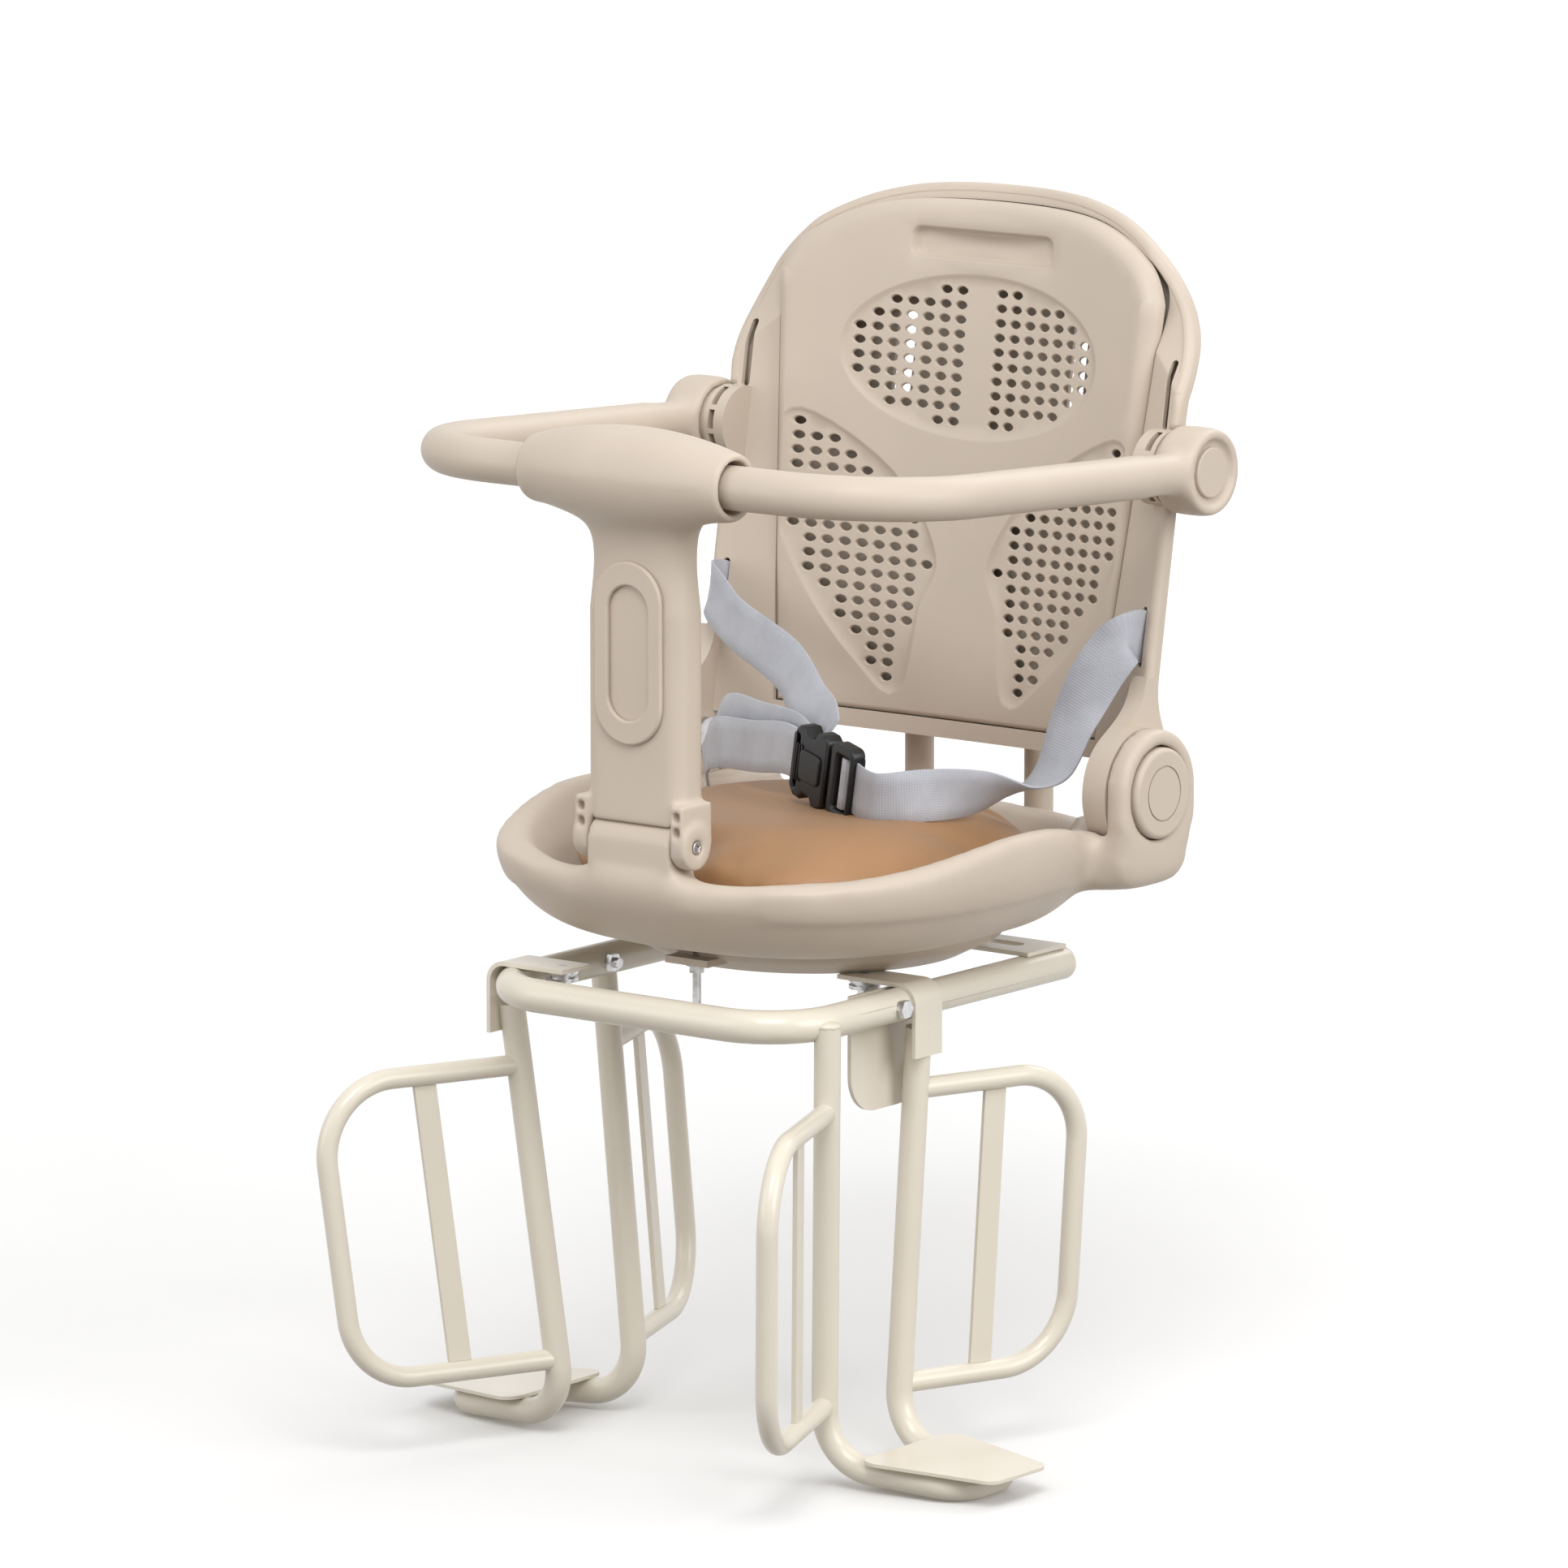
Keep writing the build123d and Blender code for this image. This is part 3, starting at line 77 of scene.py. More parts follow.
# Other zones that are smoothed further: where each begins and where it is in full
APRON_FRONT, APRON_TOP, APRON_SIDE, APRON_LOW = (-96, -106), (82, 77), (88, 74), (40, 50)
EAR_X, EAR_Y, EAR_R, EAR_LOW = (112, 120), (78, 88), (38, 41), (36, 44)
NECK_LOW, NECK_TOP, NECK_SIDE = (225, 250), (302, 288), (66, 58)
HUB_INNER_R, HUB_OUTER_R = (24, 27), (58, 42)

# Back panel, taken over from the part's source: its lean, dish, outline, recess and sunk fields
LEAN = math.radians(9.8)
PANEL_DISH, PANEL_SAG_R, PANEL_LEAN, PANEL_T = 37.0, 419.06, math.radians(3.0), 3.5
PANEL_BOTTOM_W, PANEL_BOTTOM_H = 115.0, 25.0
PANEL_TOP_W, PANEL_CORNER_H, PANEL_TOP_H = 136.0, 274.0, 325.0
PANEL_SHOULDER_SHARE, PANEL_CREST_SHARE, PANEL_CREST_DROP = 0.87, 0.52, 5.0
RECESS_L, RECESS_W, RECESS_H, RECESS_DEPTH = 100.0, 17.0, 298.0, 5.0
OVAL_H, OVAL_HALF_W, OVAL_HALF_H, FIELD_SINK, FIELD_GROW = 234.0, 88.0, 44.0, 1.2, 2.2
LEG_FIELD = [(112, 192), (123, 168), (117, 126), (94, 86), (66, 56), (40, 40), (31, 88), (22, 118), (54, 162)]

# The way into the panel's corners, and the points along its sides, arch and base
PANEL_LEAD_W, PANEL_LEAD_H = 2.0, 24.0
PANEL_SIDE_POINTS, PANEL_ARCH_POINTS, PANEL_BASE_POINTS = 24, 9, 36
OVAL_POINTS, LEG_FIELD_POINTS = 56, 6

# Holes of the panel: their grid, size, distance from a field's edge, and how pointed their ends are
HOLE_FIRST_X, HOLE_PITCH_X, HOLE_PITCH_H, HOLE_ROWS = 14.3, 11.0, 8.4, range(-24, 6)
HOLE_L, HOLE_W, HOLE_MARGIN, HOLE_POINTED, HOLE_POINTS, HOLE_CHAMFER = 8.0, 4.8, 2.9, 1.25, 14, 0.5

# Rings that the panel's face keeps: steps inwards, or for a hole outwards, and depths below the face
FIELD_STEPS = ((-FIELD_GROW - 2.2, 0), (-FIELD_GROW - 1, 0), (-FIELD_GROW, FIELD_SINK))
RECESS_STEPS = ((-1.2, 0), (-0.2, 0.6), (0.5, RECESS_DEPTH - 1), (1.8, RECESS_DEPTH))
HOLE_STEPS = ((0.9, FIELD_SINK), (0.45, FIELD_SINK), (0, FIELD_SINK + HOLE_CHAMFER))

# Free points of the panel's face: their spacing and range, and their gaps to edge, outlines and holes
GRID, GRID_HALF_W, GRID_LOW_H, GRID_HIGH_H = 6.0, 132.0, 28.0, 322.0
GRID_FROM_EDGE, GRID_OUTSIDE, GRID_INSIDE, GRID_FROM_HOLE = 3.0, 7.0, 2.0, 5.5

# Rolled edge of the panel: its radius low and high, the heights between which it grows, and its wall
ROLL_LOW, ROLL_HIGH, ROLL_LOW_H, ROLL_HIGH_H = 3.0, 9.5, 110.0, 250.0
ROLL_STEPS, ROLL_WALL = 6, 14.0

# Arch of the backrest's frame, its outline in shares of half its width and of its rise, and its rolled rim
BACK_HALF_W, BACK_WAIST_H, BACK_TOP_H, BACK_TOP_SWEEP, BACK_EDGE_T = 160.0, 205.0, 335.0, 17.0, 12.0
BACK_MID_FRONT, BACK_MID_REAR, BACK_SIDE_LAP = 36.0, 47.0, 3.0
ARCH = [(1.0, 0.0), (1.0, 0.27), (0.925, 0.545), (0.78, 0.752),
        (0.6, 0.887), (0.4, 0.966), (0.2, 0.997), (0.0, 1.004)]
RIM_R, RIM_PROUD, RIM_LEAD, RIM_SPAN, RIM_STEPS = 4.4, 0.1, 30.0, 10, 6
RIM_FLAT_IN, RIM_TUCK_IN, RIM_TUCK = 5.4, 6.2, 0.8

# Weld beads on the base tube
WELD_R, WELD_RISE, WELD_RIPPLE, WELD_RIPPLES = 7.9, 3.2, 0.03, 9
WELDS = {"weld_front_left": (113.5, -95.0, 0.0), "weld_rear_right": (-113.5, -9.4, 0.0)}

# Webbing and its stitches
WEB_W, WEB_T, WEB_EDGE_W, WEB_EDGE_HALF_T, WEB_SPAN = 30.0, 1.8, 0.5, 0.35, 8
STITCH_ALONG, STITCH_ROWS, STITCH_PITCH = (-36, -39), 9, 3.0

# Buckle: its middle and direction, its size, the bar that holds the webbing, and the loop of webbing round it
BUCKLE_CENTRE, BUCKLE_ALONG, BUCKLE_DIP = (27.0, 24.0, 115.0), (0.958, -0.287), math.radians(11.0)
BUCKLE_H, BUCKLE_T, BUCKLE_MALE_L, BUCKLE_BEVEL = 44.0, 12.0, 22.0, 1.8
BUCKLE_BAR_AT = BUCKLE_MALE_L / 2 + 2.5
WRAP_HALF_L, WRAP_HALF_T, WRAP_FROM, WRAP_STEP, WRAP_POINTS = 3.3, 3.6, 20, 40, 9

# Screw in the end of the post's pin
SCREW_X, SCREW_R, SCREW_T, SCREW_BEVEL, SCREW_TURN = 38.9, 3.7, 1.6, 0.35, math.radians(25)
SLOT_REACH, SLOT_HALF_W = 2.3, 0.55

# Cushion, in metres: its grid, the share it is shrunk to, its gap to the bowl, and how far the cloth may move
PAD_GRID, PAD_SHRINK, PAD_GAP, PAD_MOVE = 0.005, 0.965, 0.0002, 0.006
PAD_PRESSURE, PAD_QUALITY, PAD_FRAMES, PAD_ROUNDS = 4, 5, 20, 4

# Points closer than this are one: in millimetres in the panel's front view, else in metres
SAME_VIEW_POINT, SAME_POINT, SAME_RING_POINT, SAME_CAD_POINT = 1e-6, 1e-6, 2e-6, 1e-5

# Colours, linear
BEIGE = (0.55, 0.472, 0.392)
CREAM = (0.70, 0.648, 0.548)
TAN = (0.355, 0.190, 0.084)
SILVER = (0.44, 0.455, 0.505)
BLACK = (0.008, 0.008, 0.009)
ZINC = (0.60, 0.60, 0.61)

# Finish of the CAD nodes by the start of their names, and their rounded edges' width in metres and angle
STEEL_NODES = ("base_tube", "rear_plate", "side_plate", "leg_frame", "front_loop", "rear_loop",
               "front_strip", "rear_strip", "foot_plate")
ZINC_NODES = ("cross_bolts", "hook_bolts", "front_stud", "post_pin", "hinge_bolt")
NODE_FINISHES = (
    (STEEL_NODES, "steel", 0.0004, 40),
    (ZINC_NODES, "zinc", 0.0003, 40),
    ("seat_cushion", "cushion", 0, 0),
    ("strap", "webbing", 0, 0),
    ("buckle", "buckle", 0, 0),
    ("", "plastic", 0.0009, 35),
)

# Studio: each lamp's place and size in metres and its power, and the light from below and above
LAMPS = {
    "key": ((1.3, -1.7, 2.6), 1.8, 50),
    "side": ((3.0, 0.0, 1.2), 2.2, 49),
    "fill": ((-1.6, -2.8, 1.0), 2.4, 26),
    "rim": ((0.2, 2.4, 2.2), 1.6, 17),
}
SKY_LOW, SKY_HIGH = (0.38, 0.36, 0.34), (0.88, 0.88, 0.88)

# The far floor glows towards the white of the backdrop; near the seat it only takes the lamps and the shadow
FLOOR_SIZE, FLOOR_GAP, FLOOR_DARK, FLOOR_LIGHT = 40.0, 0.0005, (0.80, 0.80, 0.80), (0.82, 0.82, 0.82)
GLOW_FROM, GLOW_FULL, GLOW = 0.5, 3.2, 0.40


# Materials

def new_material(name):
    """A material with its node tree, its shader's sockets and the object's own coordinates."""
    material = bpy.data.materials.new(name)
    material.use_nodes = True
    tree = material.node_tree
    where = tree.nodes.new("ShaderNodeTexCoord")
    return material, tree, tree.nodes["Principled BSDF"].inputs, where.outputs["Object"]


def noise(tree, at, scale, detail):
    texture = tree.nodes.new("ShaderNodeTexNoise")
    texture.inputs["Scale"].default_value = scale
    texture.inputs["Detail"].default_value = detail
    tree.links.new(at, texture.inputs["Vector"])
    return texture.outputs["Fac"]


def ramp(tree, factor, dark, light, low=0.3, high=0.7):
    """Colours between two values of a texture."""
    node = tree.nodes.new("ShaderNodeValToRGB")
    node.color_ramp.elements[0].position = low
    node.color_ramp.elements[1].position = high
    node.color_ramp.elements[0].color = (*dark, 1)
    node.color_ramp.elements[1].color = (*light, 1)
    tree.links.new(factor, node.inputs["Fac"])
    return node.outputs["Color"]


def shades(tree, factor, colour, dark, light, low=0.3, high=0.7):
    """A darker and a lighter shade of one colour, mixed by a texture."""
    return ramp(tree, factor, tint(colour, dark), tint(colour, light), low, high)


def tint(colour, by):
    return tuple(min(1.0, c * by) for c in colour)


def spread(tree, factor, low, high):
    node = tree.nodes.new("ShaderNodeMapRange")
    node.inputs["To Min"].default_value = low
    node.inputs["To Max"].default_value = high
    tree.links.new(factor, node.inputs["Value"])
    return node.outputs["Result"]


def bump(tree, height, strength, distance):
    node = tree.nodes.new("ShaderNodeBump")
    node.inputs["Strength"].default_value = strength
    node.inputs["Distance"].default_value = distance
    tree.links.new(height, node.inputs["Height"])
    return node.outputs["Normal"]


def moulded_plastic(name, colour, roughness, grain):
    """Plastic with a faint cloudy colour and a fine moulded grain."""
    material, tree, sockets, at = new_material(name)
    cloud = noise(tree, at, scale=14, detail=3)
    fine = noise(tree, at, scale=900, detail=2)
    tree.links.new(shades(tree, cloud, colour, 0.965, 1.03), sockets["Base Color"])
    tree.links.new(spread(tree, cloud, roughness - 0.05, roughness + 0.05), sockets["Roughness"])
    tree.links.new(bump(tree, fine, strength=grain, distance=0.0002), sockets["Normal"])
    sockets["Specular IOR Level"].default_value = 0.45
    return material


def powder_coat(name, colour):
    """Gloss paint on steel, with a little orange peel."""
    material, tree, sockets, at = new_material(name)
    cloud = noise(tree, at, scale=9, detail=2)
    peel = noise(tree, at, scale=260, detail=1)
    tree.links.new(shades(tree, cloud, colour, 0.97, 1.02), sockets["Base Color"])
    tree.links.new(spread(tree, cloud, 0.26, 0.36), sockets["Roughness"])
    tree.links.new(bump(tree, peel, strength=0.12, distance=0.0003), sockets["Normal"])
    sockets["Coat Weight"].default_value = 0.25
    sockets["Coat Roughness"].default_value = 0.12
    return material


def plated_steel(name, colour):
    """Bright zinc, a little uneven."""
    material, tree, sockets, at = new_material(name)
    cloud = noise(tree, at, scale=300, detail=3)
    tree.links.new(shades(tree, cloud, colour, 0.8, 1.1), sockets["Base Color"])
    tree.links.new(spread(tree, cloud, 0.22, 0.42), sockets["Roughness"])
    sockets["Metallic"].default_value = 1.0
    return material


def leatherette(name, colour):
    """Smooth leather cloth with a fine pebbled grain."""
    material, tree, sockets, at = new_material(name)
    cloud = noise(tree, at, scale=11, detail=4)
    cells = tree.nodes.new("ShaderNodeTexVoronoi")
    cells.feature = "DISTANCE_TO_EDGE"
    cells.inputs["Scale"].default_value = 620
    tree.links.new(at, cells.inputs["Vector"])
    pebble = spread(tree, cells.outputs["Distance"], 0, 1)
    tree.links.new(shades(tree, cloud, colour, 0.88, 1.12, 0.25, 0.75), sockets["Base Color"])
    tree.links.new(spread(tree, cloud, 0.42, 0.55), sockets["Roughness"])
    tree.links.new(bump(tree, pebble, strength=0.22, distance=0.0003), sockets["Normal"])
    sockets["Sheen Weight"].default_value = 0.12
    return material


def wave(tree, at, direction, scale, distortion):
    texture = tree.nodes.new("ShaderNodeTexWave")
    texture.bands_direction = direction
    texture.inputs["Scale"].default_value = scale
    texture.inputs["Distortion"].default_value = distortion
    tree.links.new(at, texture.inputs["Vector"])
    return texture.outputs["Fac"]


def webbing_cloth(name, colour):
    """Woven strap: ribs across the strap and fine threads along it, in the strap's own coordinates."""
    material, tree, sockets, at = new_material(name)
    where = tree.nodes.new("ShaderNodeUVMap")
    where.uv_map = "strap"
    weave = tree.nodes.new("ShaderNodeMath")
    weave.operation = "MULTIPLY"
    tree.links.new(wave(tree, where.outputs["UV"], "X", scale=200, distortion=0.6), weave.inputs[0])
    tree.links.new(wave(tree, where.outputs["UV"], "Y", scale=330, distortion=0), weave.inputs[1])
    cloud = noise(tree, at, scale=40, detail=3)
    tree.links.new(shades(tree, cloud, colour, 0.88, 1.1), sockets["Base Color"])
    tree.links.new(spread(tree, cloud, 0.36, 0.48), sockets["Roughness"])
    tree.links.new(bump(tree, weave.outputs["Value"], strength=0.5, distance=0.0004), sockets["Normal"])
    sockets["Sheen Weight"].default_value = 0.25
    return material


# Meshes and pieces

def painted(piece, material):
    piece.data.materials.clear()
    piece.data.materials.append(material)


def linked(name, data):
    """A new object in the scene."""
    piece = bpy.data.objects.new(name, data)
    bpy.context.scene.collection.objects.link(piece)
    return piece


def shaded_smooth(mesh):
    mesh.polygons.foreach_set("use_smooth", [True] * len(mesh.polygons))
    mesh.update()


def add_piece(name, mesh, body, material, node=None):
    """A new piece that rides on a body, with a finish, in place of a CAD node where one is named."""
    shaded_smooth(mesh)
    piece = linked(name, mesh)
    painted(piece, material)
    if body:
        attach(piece, body)
    if node:
        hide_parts(node)
    return piece


def as_mesh(shape, name):
    mesh = bpy.data.meshes.new(name)
    shape.to_mesh(mesh)
    shape.free()
    return mesh


def baked(piece):
    """The mesh of an object with its modifiers applied; the object itself is removed."""
    mesh = bpy.data.meshes.new_from_object(piece.evaluated_get(bpy.context.evaluated_depsgraph_get()))
    bpy.data.objects.remove(piece)
    return mesh


def points_of(mesh):
    flat = np.empty(3 * len(mesh.vertices))
    mesh.vertices.foreach_get("co", flat)
    return flat.reshape(-1, 3)


def set_points(mesh, points):
    mesh.vertices.foreach_set("co", points.ravel())
    mesh.update()


def ring_faces(shape, one, other):
    """The faces between two closed rings of points."""
    faces = []
    for i in range(len(one)):
        j = (i + 1) % len(one)
        faces.append(shape.faces.new((one[i], one[j], other[j], other[i])))
    return faces


# Moulded pieces: the CAD solid with its edges and corners run together as they come from a mould

def even_mesh(node, voxel):
    """An even closed mesh over a CAD solid."""
    shape = bmesh.new()
    shape.from_mesh(node.data)
    bmesh.ops.remove_doubles(shape, verts=shape.verts, dist=SAME_POINT)
    piece = linked("even", as_mesh(shape, "even"))
    grid = piece.modifiers.new("grid", "REMESH")
    grid.mode = "VOXEL"
    grid.voxel_size = voxel
    return baked(piece)


def relax(mesh, weight, rounds):
    """Moves each point towards its neighbours' mean, as far as the weight at its place says."""
    place = points_of(mesh)
    count = len(place)
    ends = np.empty(2 * len(mesh.edges), int)
    mesh.edges.foreach_get("vertices", ends)
    ends = ends.reshape(-1, 2)
    here = np.concatenate((ends[:, 0], ends[:, 1]))
    there = np.concatenate((ends[:, 1], ends[:, 0]))
    share = 1 / np.maximum(np.bincount(here, minlength=count), 1)
    pull = 0.5 * weight(*(place / MM).T)
    for _ in range(rounds):
        for axis in range(3):
            mean = np.bincount(here, weights=place[there, axis], minlength=count) * share
            place[:, axis] += pull * (mean - place[:, axis])
    set_points(mesh, place)


def fade(value, none, full):
    """0 up to one value and 1 from another, with an even slope between."""
    return np.clip((value - none) / (full - none), 0, 1)


def everywhere(x, y, z):
    return np.ones_like(x)


def shell_lip(x, y, z):
    """The rolled lip of the bucket, without the ears and the hinge block of the post."""
    lip = np.interp(y, LIP_Y, LIP_Z)
    ear = (np.abs(x) > LIP_EAR_X) & (np.hypot(y - HINGE_Y, z - HINGE_Z) < LIP_EAR_R)
    block = (np.abs(x) < LIP_BLOCK_HALF_W) & (y < LIP_BLOCK_Y)
    return fade(z, lip - LIP_NONE, lip - LIP_FULL) * ~ear * ~block


def shell_apron(x, y, z):
    """The front of the bucket, under the post."""
    return fade(y, *APRON_FRONT) * fade(z, *APRON_TOP) * fade(np.abs(x), *APRON_SIDE) * fade(z, *APRON_LOW)


def shell_ears(x, y, z):
    """The foot of the hinge ears, round the button's face."""
    away = np.hypot(y - HINGE_Y, z - HINGE_Z)
    return fade(np.abs(x), *EAR_X) * fade(y, *EAR_Y) * fade(away, *EAR_R) * fade(z, *EAR_LOW)


def post_neck(x, y, z):
    """Where the post widens into its head."""
    return fade(z, *NECK_LOW) * fade(z, *NECK_TOP) * fade(np.abs(x), *NECK_SIDE)


def bar_hubs(x, y, z):
    """Where the guard bar runs into its hubs."""
    away = np.hypot(y - HUB_Y, z - HUB_Z)
    return fade(away, *HUB_INNER_R) * fade(away, *HUB_OUTER_R)


def clear_bores(mesh):
    """Keeps the pockets of the recline buttons at their full width and depth."""
    for vertex in mesh.vertices:
        x, y, z = vertex.co / MM
        reach = math.hypot(y - HINGE_Y, z - HINGE_Z)
        deep, narrow = abs(x) - BUTTON_FLOOR_X, BUTTON_BORE_R - reach
        if deep <= 0 or narrow <= 0 or not reach:
            continue
        corner = max(deep, narrow) < BUTTON_CORNER
        if narrow < deep or corner:
            grow = BUTTON_BORE_R / reach
            y, z = HINGE_Y + (y - HINGE_Y) * grow, HINGE_Z + (z - HINGE_Z) * grow
        if narrow >= deep or corner:
            x = math.copysign(BUTTON_FLOOR_X, x)
        vertex.co = Vector((x, y, z)) * MM


def moulded(name, node, voxel, body, material, zones):
    """A skin over a CAD solid, smoothed in zones, each with its number of rounds."""
    mesh = even_mesh(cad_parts[node], voxel)
    for weight, rounds in zones:
        relax(mesh, weight, rounds)
    if node == "seat_shell":
        clear_bores(mesh)
    add_piece(name, mesh, body, material, node)


# Outlines

def smooth_curve(points, count, closed):
    """Points along a Catmull-Rom curve, with the same number in each span."""
    total = len(points)

    def knot(i):
        return Vector(points[i % total] if closed else points[min(max(i, 0), total - 1)])

    out = []
    for i in range(total if closed else total - 1):
        before, start, end, after = (knot(i + k) for k in (-1, 0, 1, 2))
        for j in range(count):
            t = j / count
            out.append(0.5 * (2 * start + (end - before) * t
                              + (2 * before - 5 * start + 4 * end - after) * t * t
                              + (3 * start - before - 3 * end + after) * t * t * t))
    if not closed:
        out.append(Vector(points[-1]))
    return out


def inset_outline(points, by):
    """A closed outline moved inwards by a distance, or by one for each point."""
    pairs = zip(points, points[1:] + points[:1])
    turn = 1 if sum(p[0] * q[1] - q[0] * p[1] for p, q in pairs) > 0 else -1
    out = []
    for i, point in enumerate(points):
        along = (points[(i + 1) % len(points)] - points[i - 1]).normalized()
        step = by[i] if isinstance(by, list) else by
        out.append(Vector((point[0] - turn * along.y * step, point[1] + turn * along.x * step)))
    return out


def inside(points, x, y):
    """Which of many places lie inside a closed outline."""
    px = np.array([p[0] for p in points])
    py = np.array([p[1] for p in points])
    qx, qy = np.roll(px, -1), np.roll(py, -1)
    hit = np.zeros(len(x), int)
    for ax, ay, bx, by in zip(px, py, qx, qy):
        crosses = (ay > y) != (by > y)
        if ay != by:
            hit += crosses & (x < (bx - ax) * (y - ay) / (by - ay) + ax)
    return hit % 2 == 1


def rounded_box(half_w, half_h, radius, centre, steps):
    """An oblong with round corners, anticlockwise from its right side."""
    out = []
    corners = ((half_w, half_h), (-half_w, half_h), (-half_w, -half_h), (half_w, -half_h))
    for quarter, (cx, cy) in enumerate(corners):
        for i in range(steps + 1):
            a = math.radians(90 * quarter + 90 * i / steps)
            x = centre[0] + cx - math.copysign(radius, cx) + radius * math.cos(a)
            out.append(Vector((x, centre[1] + cy - math.copysign(radius, cy) + radius * math.sin(a))))
    return out


def ellipse(centre, half_w, half_h, count):
    ring = [2 * math.pi * i / count for i in range(count)]
    return [Vector((centre[0] + half_w * math.cos(a), centre[1] + half_h * math.sin(a))) for a in ring]


# Perforated back panel

def back_place(x, depth, height):
    """A place on the leaned backrest, from its own width, depth and height in millimetres."""
    y = HINGE_Y + depth * math.cos(LEAN) + height * math.sin(LEAN)
    z = HINGE_Z - depth * math.sin(LEAN) + height * math.cos(LEAN)
    return Vector((x, y, z)) * MM


def panel_depth(x, height):
    """Depth of the panel's dished front face."""
    bow = PANEL_DISH - PANEL_SAG_R + math.sqrt(PANEL_SAG_R * PANEL_SAG_R - x * x)
    return bow / math.cos(PANEL_LEAN) - height * math.tan(PANEL_LEAN)


def on_panel(point, depth):
    """The place at a depth below the panel's face, from a point of its front view."""
    return back_place(point.x, panel_depth(point.x, point.y) + depth, point.y)


def panel_outline():
    """Front view of the panel, from its lower right corner round by the top."""
    foot, corner = Vector((PANEL_BOTTOM_W, PANEL_BOTTOM_H)), Vector((PANEL_TOP_W, PANEL_CORNER_H))
    half = [foot + (corner - foot) * i / PANEL_SIDE_POINTS for i in range(PANEL_SIDE_POINTS)]
    crest_w, crest_h = PANEL_CREST_SHARE * PANEL_TOP_W, PANEL_TOP_H - PANEL_CREST_DROP
    arch = [(PANEL_TOP_W - PANEL_LEAD_W, PANEL_CORNER_H - PANEL_LEAD_H), (PANEL_TOP_W, PANEL_CORNER_H),
            (PANEL_SHOULDER_SHARE * PANEL_TOP_W, (PANEL_CORNER_H + PANEL_TOP_H) / 2),
            (crest_w, crest_h), (0, PANEL_TOP_H), (-crest_w, crest_h)]
    curve = smooth_curve(arch, PANEL_ARCH_POINTS, False)
    half += [p for p in curve if p.y >= PANEL_CORNER_H and p.x > 0.5]
    left = [Vector((-p.x, p.y)) for p in reversed(half)]
    along = [2 * i / PANEL_BASE_POINTS - 1 for i in range(1, PANEL_BASE_POINTS)]
    base = [Vector((PANEL_BOTTOM_W * share, PANEL_BOTTOM_H)) for share in along]
    return half + [Vector((0, PANEL_TOP_H))] + left + base


def field_outlines():
    """The oval at the top of the panel and the two fields below it."""
    right = smooth_curve(LEG_FIELD, LEG_FIELD_POINTS, True)
    left = [Vector((-p.x, p.y)) for p in reversed(right)]
    return [ellipse((0, OVAL_H), OVAL_HALF_W, OVAL_HALF_H, OVAL_POINTS), right, left]


def hole_places(fields):
    """Centres of the holes: a straight grid with a blank band in its middle, clear of the fields' edges."""
    columns = [HOLE_FIRST_X + i * HOLE_PITCH_X for i in range(int(PANEL_TOP_W // HOLE_PITCH_X))]
    rows = [OVAL_H + (row + 0.5) * HOLE_PITCH_H for row in HOLE_ROWS]
    x, h = (a.ravel() for a in np.meshgrid([-c for c in columns] + columns, rows))
    kept = np.zeros(len(x), bool)
    for field in fields:
        kept |= inside(inset_outline(field, HOLE_MARGIN), x, h)
    return list(zip(x[kept], h[kept]))


def lens(centre, grow):
    """Outline of a hole: an oval drawn to a point at both ends."""
    out = []
    for i in range(HOLE_POINTS):
        a = 2 * math.pi * i / HOLE_POINTS
        bow = math.copysign(abs(math.sin(a)) ** HOLE_POINTED, math.sin(a))
        x = centre[0] + (HOLE_L / 2 + grow) * math.cos(a)
        out.append(Vector((x, centre[1] + (HOLE_W / 2 + grow) * bow)))
    return out


def face_rings(face_edge, fields, recess, holes):
    """The outlines that the panel's face keeps, each with its depth below the face."""
    rings = [(face_edge, 0)]
    for field in fields:
        rings += [(inset_outline(field, step), depth) for step, depth in FIELD_STEPS]
    rings += [(inset_outline(recess, step), depth) for step, depth in RECESS_STEPS]
    for hole in holes:
        rings += [(lens(hole, step), depth) for step, depth in HOLE_STEPS]
    return rings


def free_points(face_edge, fields, recess, holes):
    """Points of a grid that lie clear of all the outlines, each with its depth below the face."""
    across = np.arange(-GRID_HALF_W, GRID_HALF_W + 1, GRID)
    x, h = (a.ravel() for a in np.meshgrid(across, np.arange(GRID_LOW_H, GRID_HIGH_H, GRID)))
    free = inside(inset_outline(face_edge, GRID_FROM_EDGE), x, h)
    for ring in fields + [recess]:
        near = inside(inset_outline(ring, -GRID_OUTSIDE), x, h)
        free &= ~(near & ~inside(inset_outline(ring, GRID_INSIDE), x, h))
    for hole_x, hole_h in holes:
        free &= np.hypot(x - hole_x, h - hole_h) > GRID_FROM_HOLE
    depth = np.zeros(len(x))
    for field in fields:
        depth[inside(field, x, h)] = FIELD_SINK
    depth[inside(recess, x, h)] = RECESS_DEPTH
    return zip(x[free], h[free], depth[free])


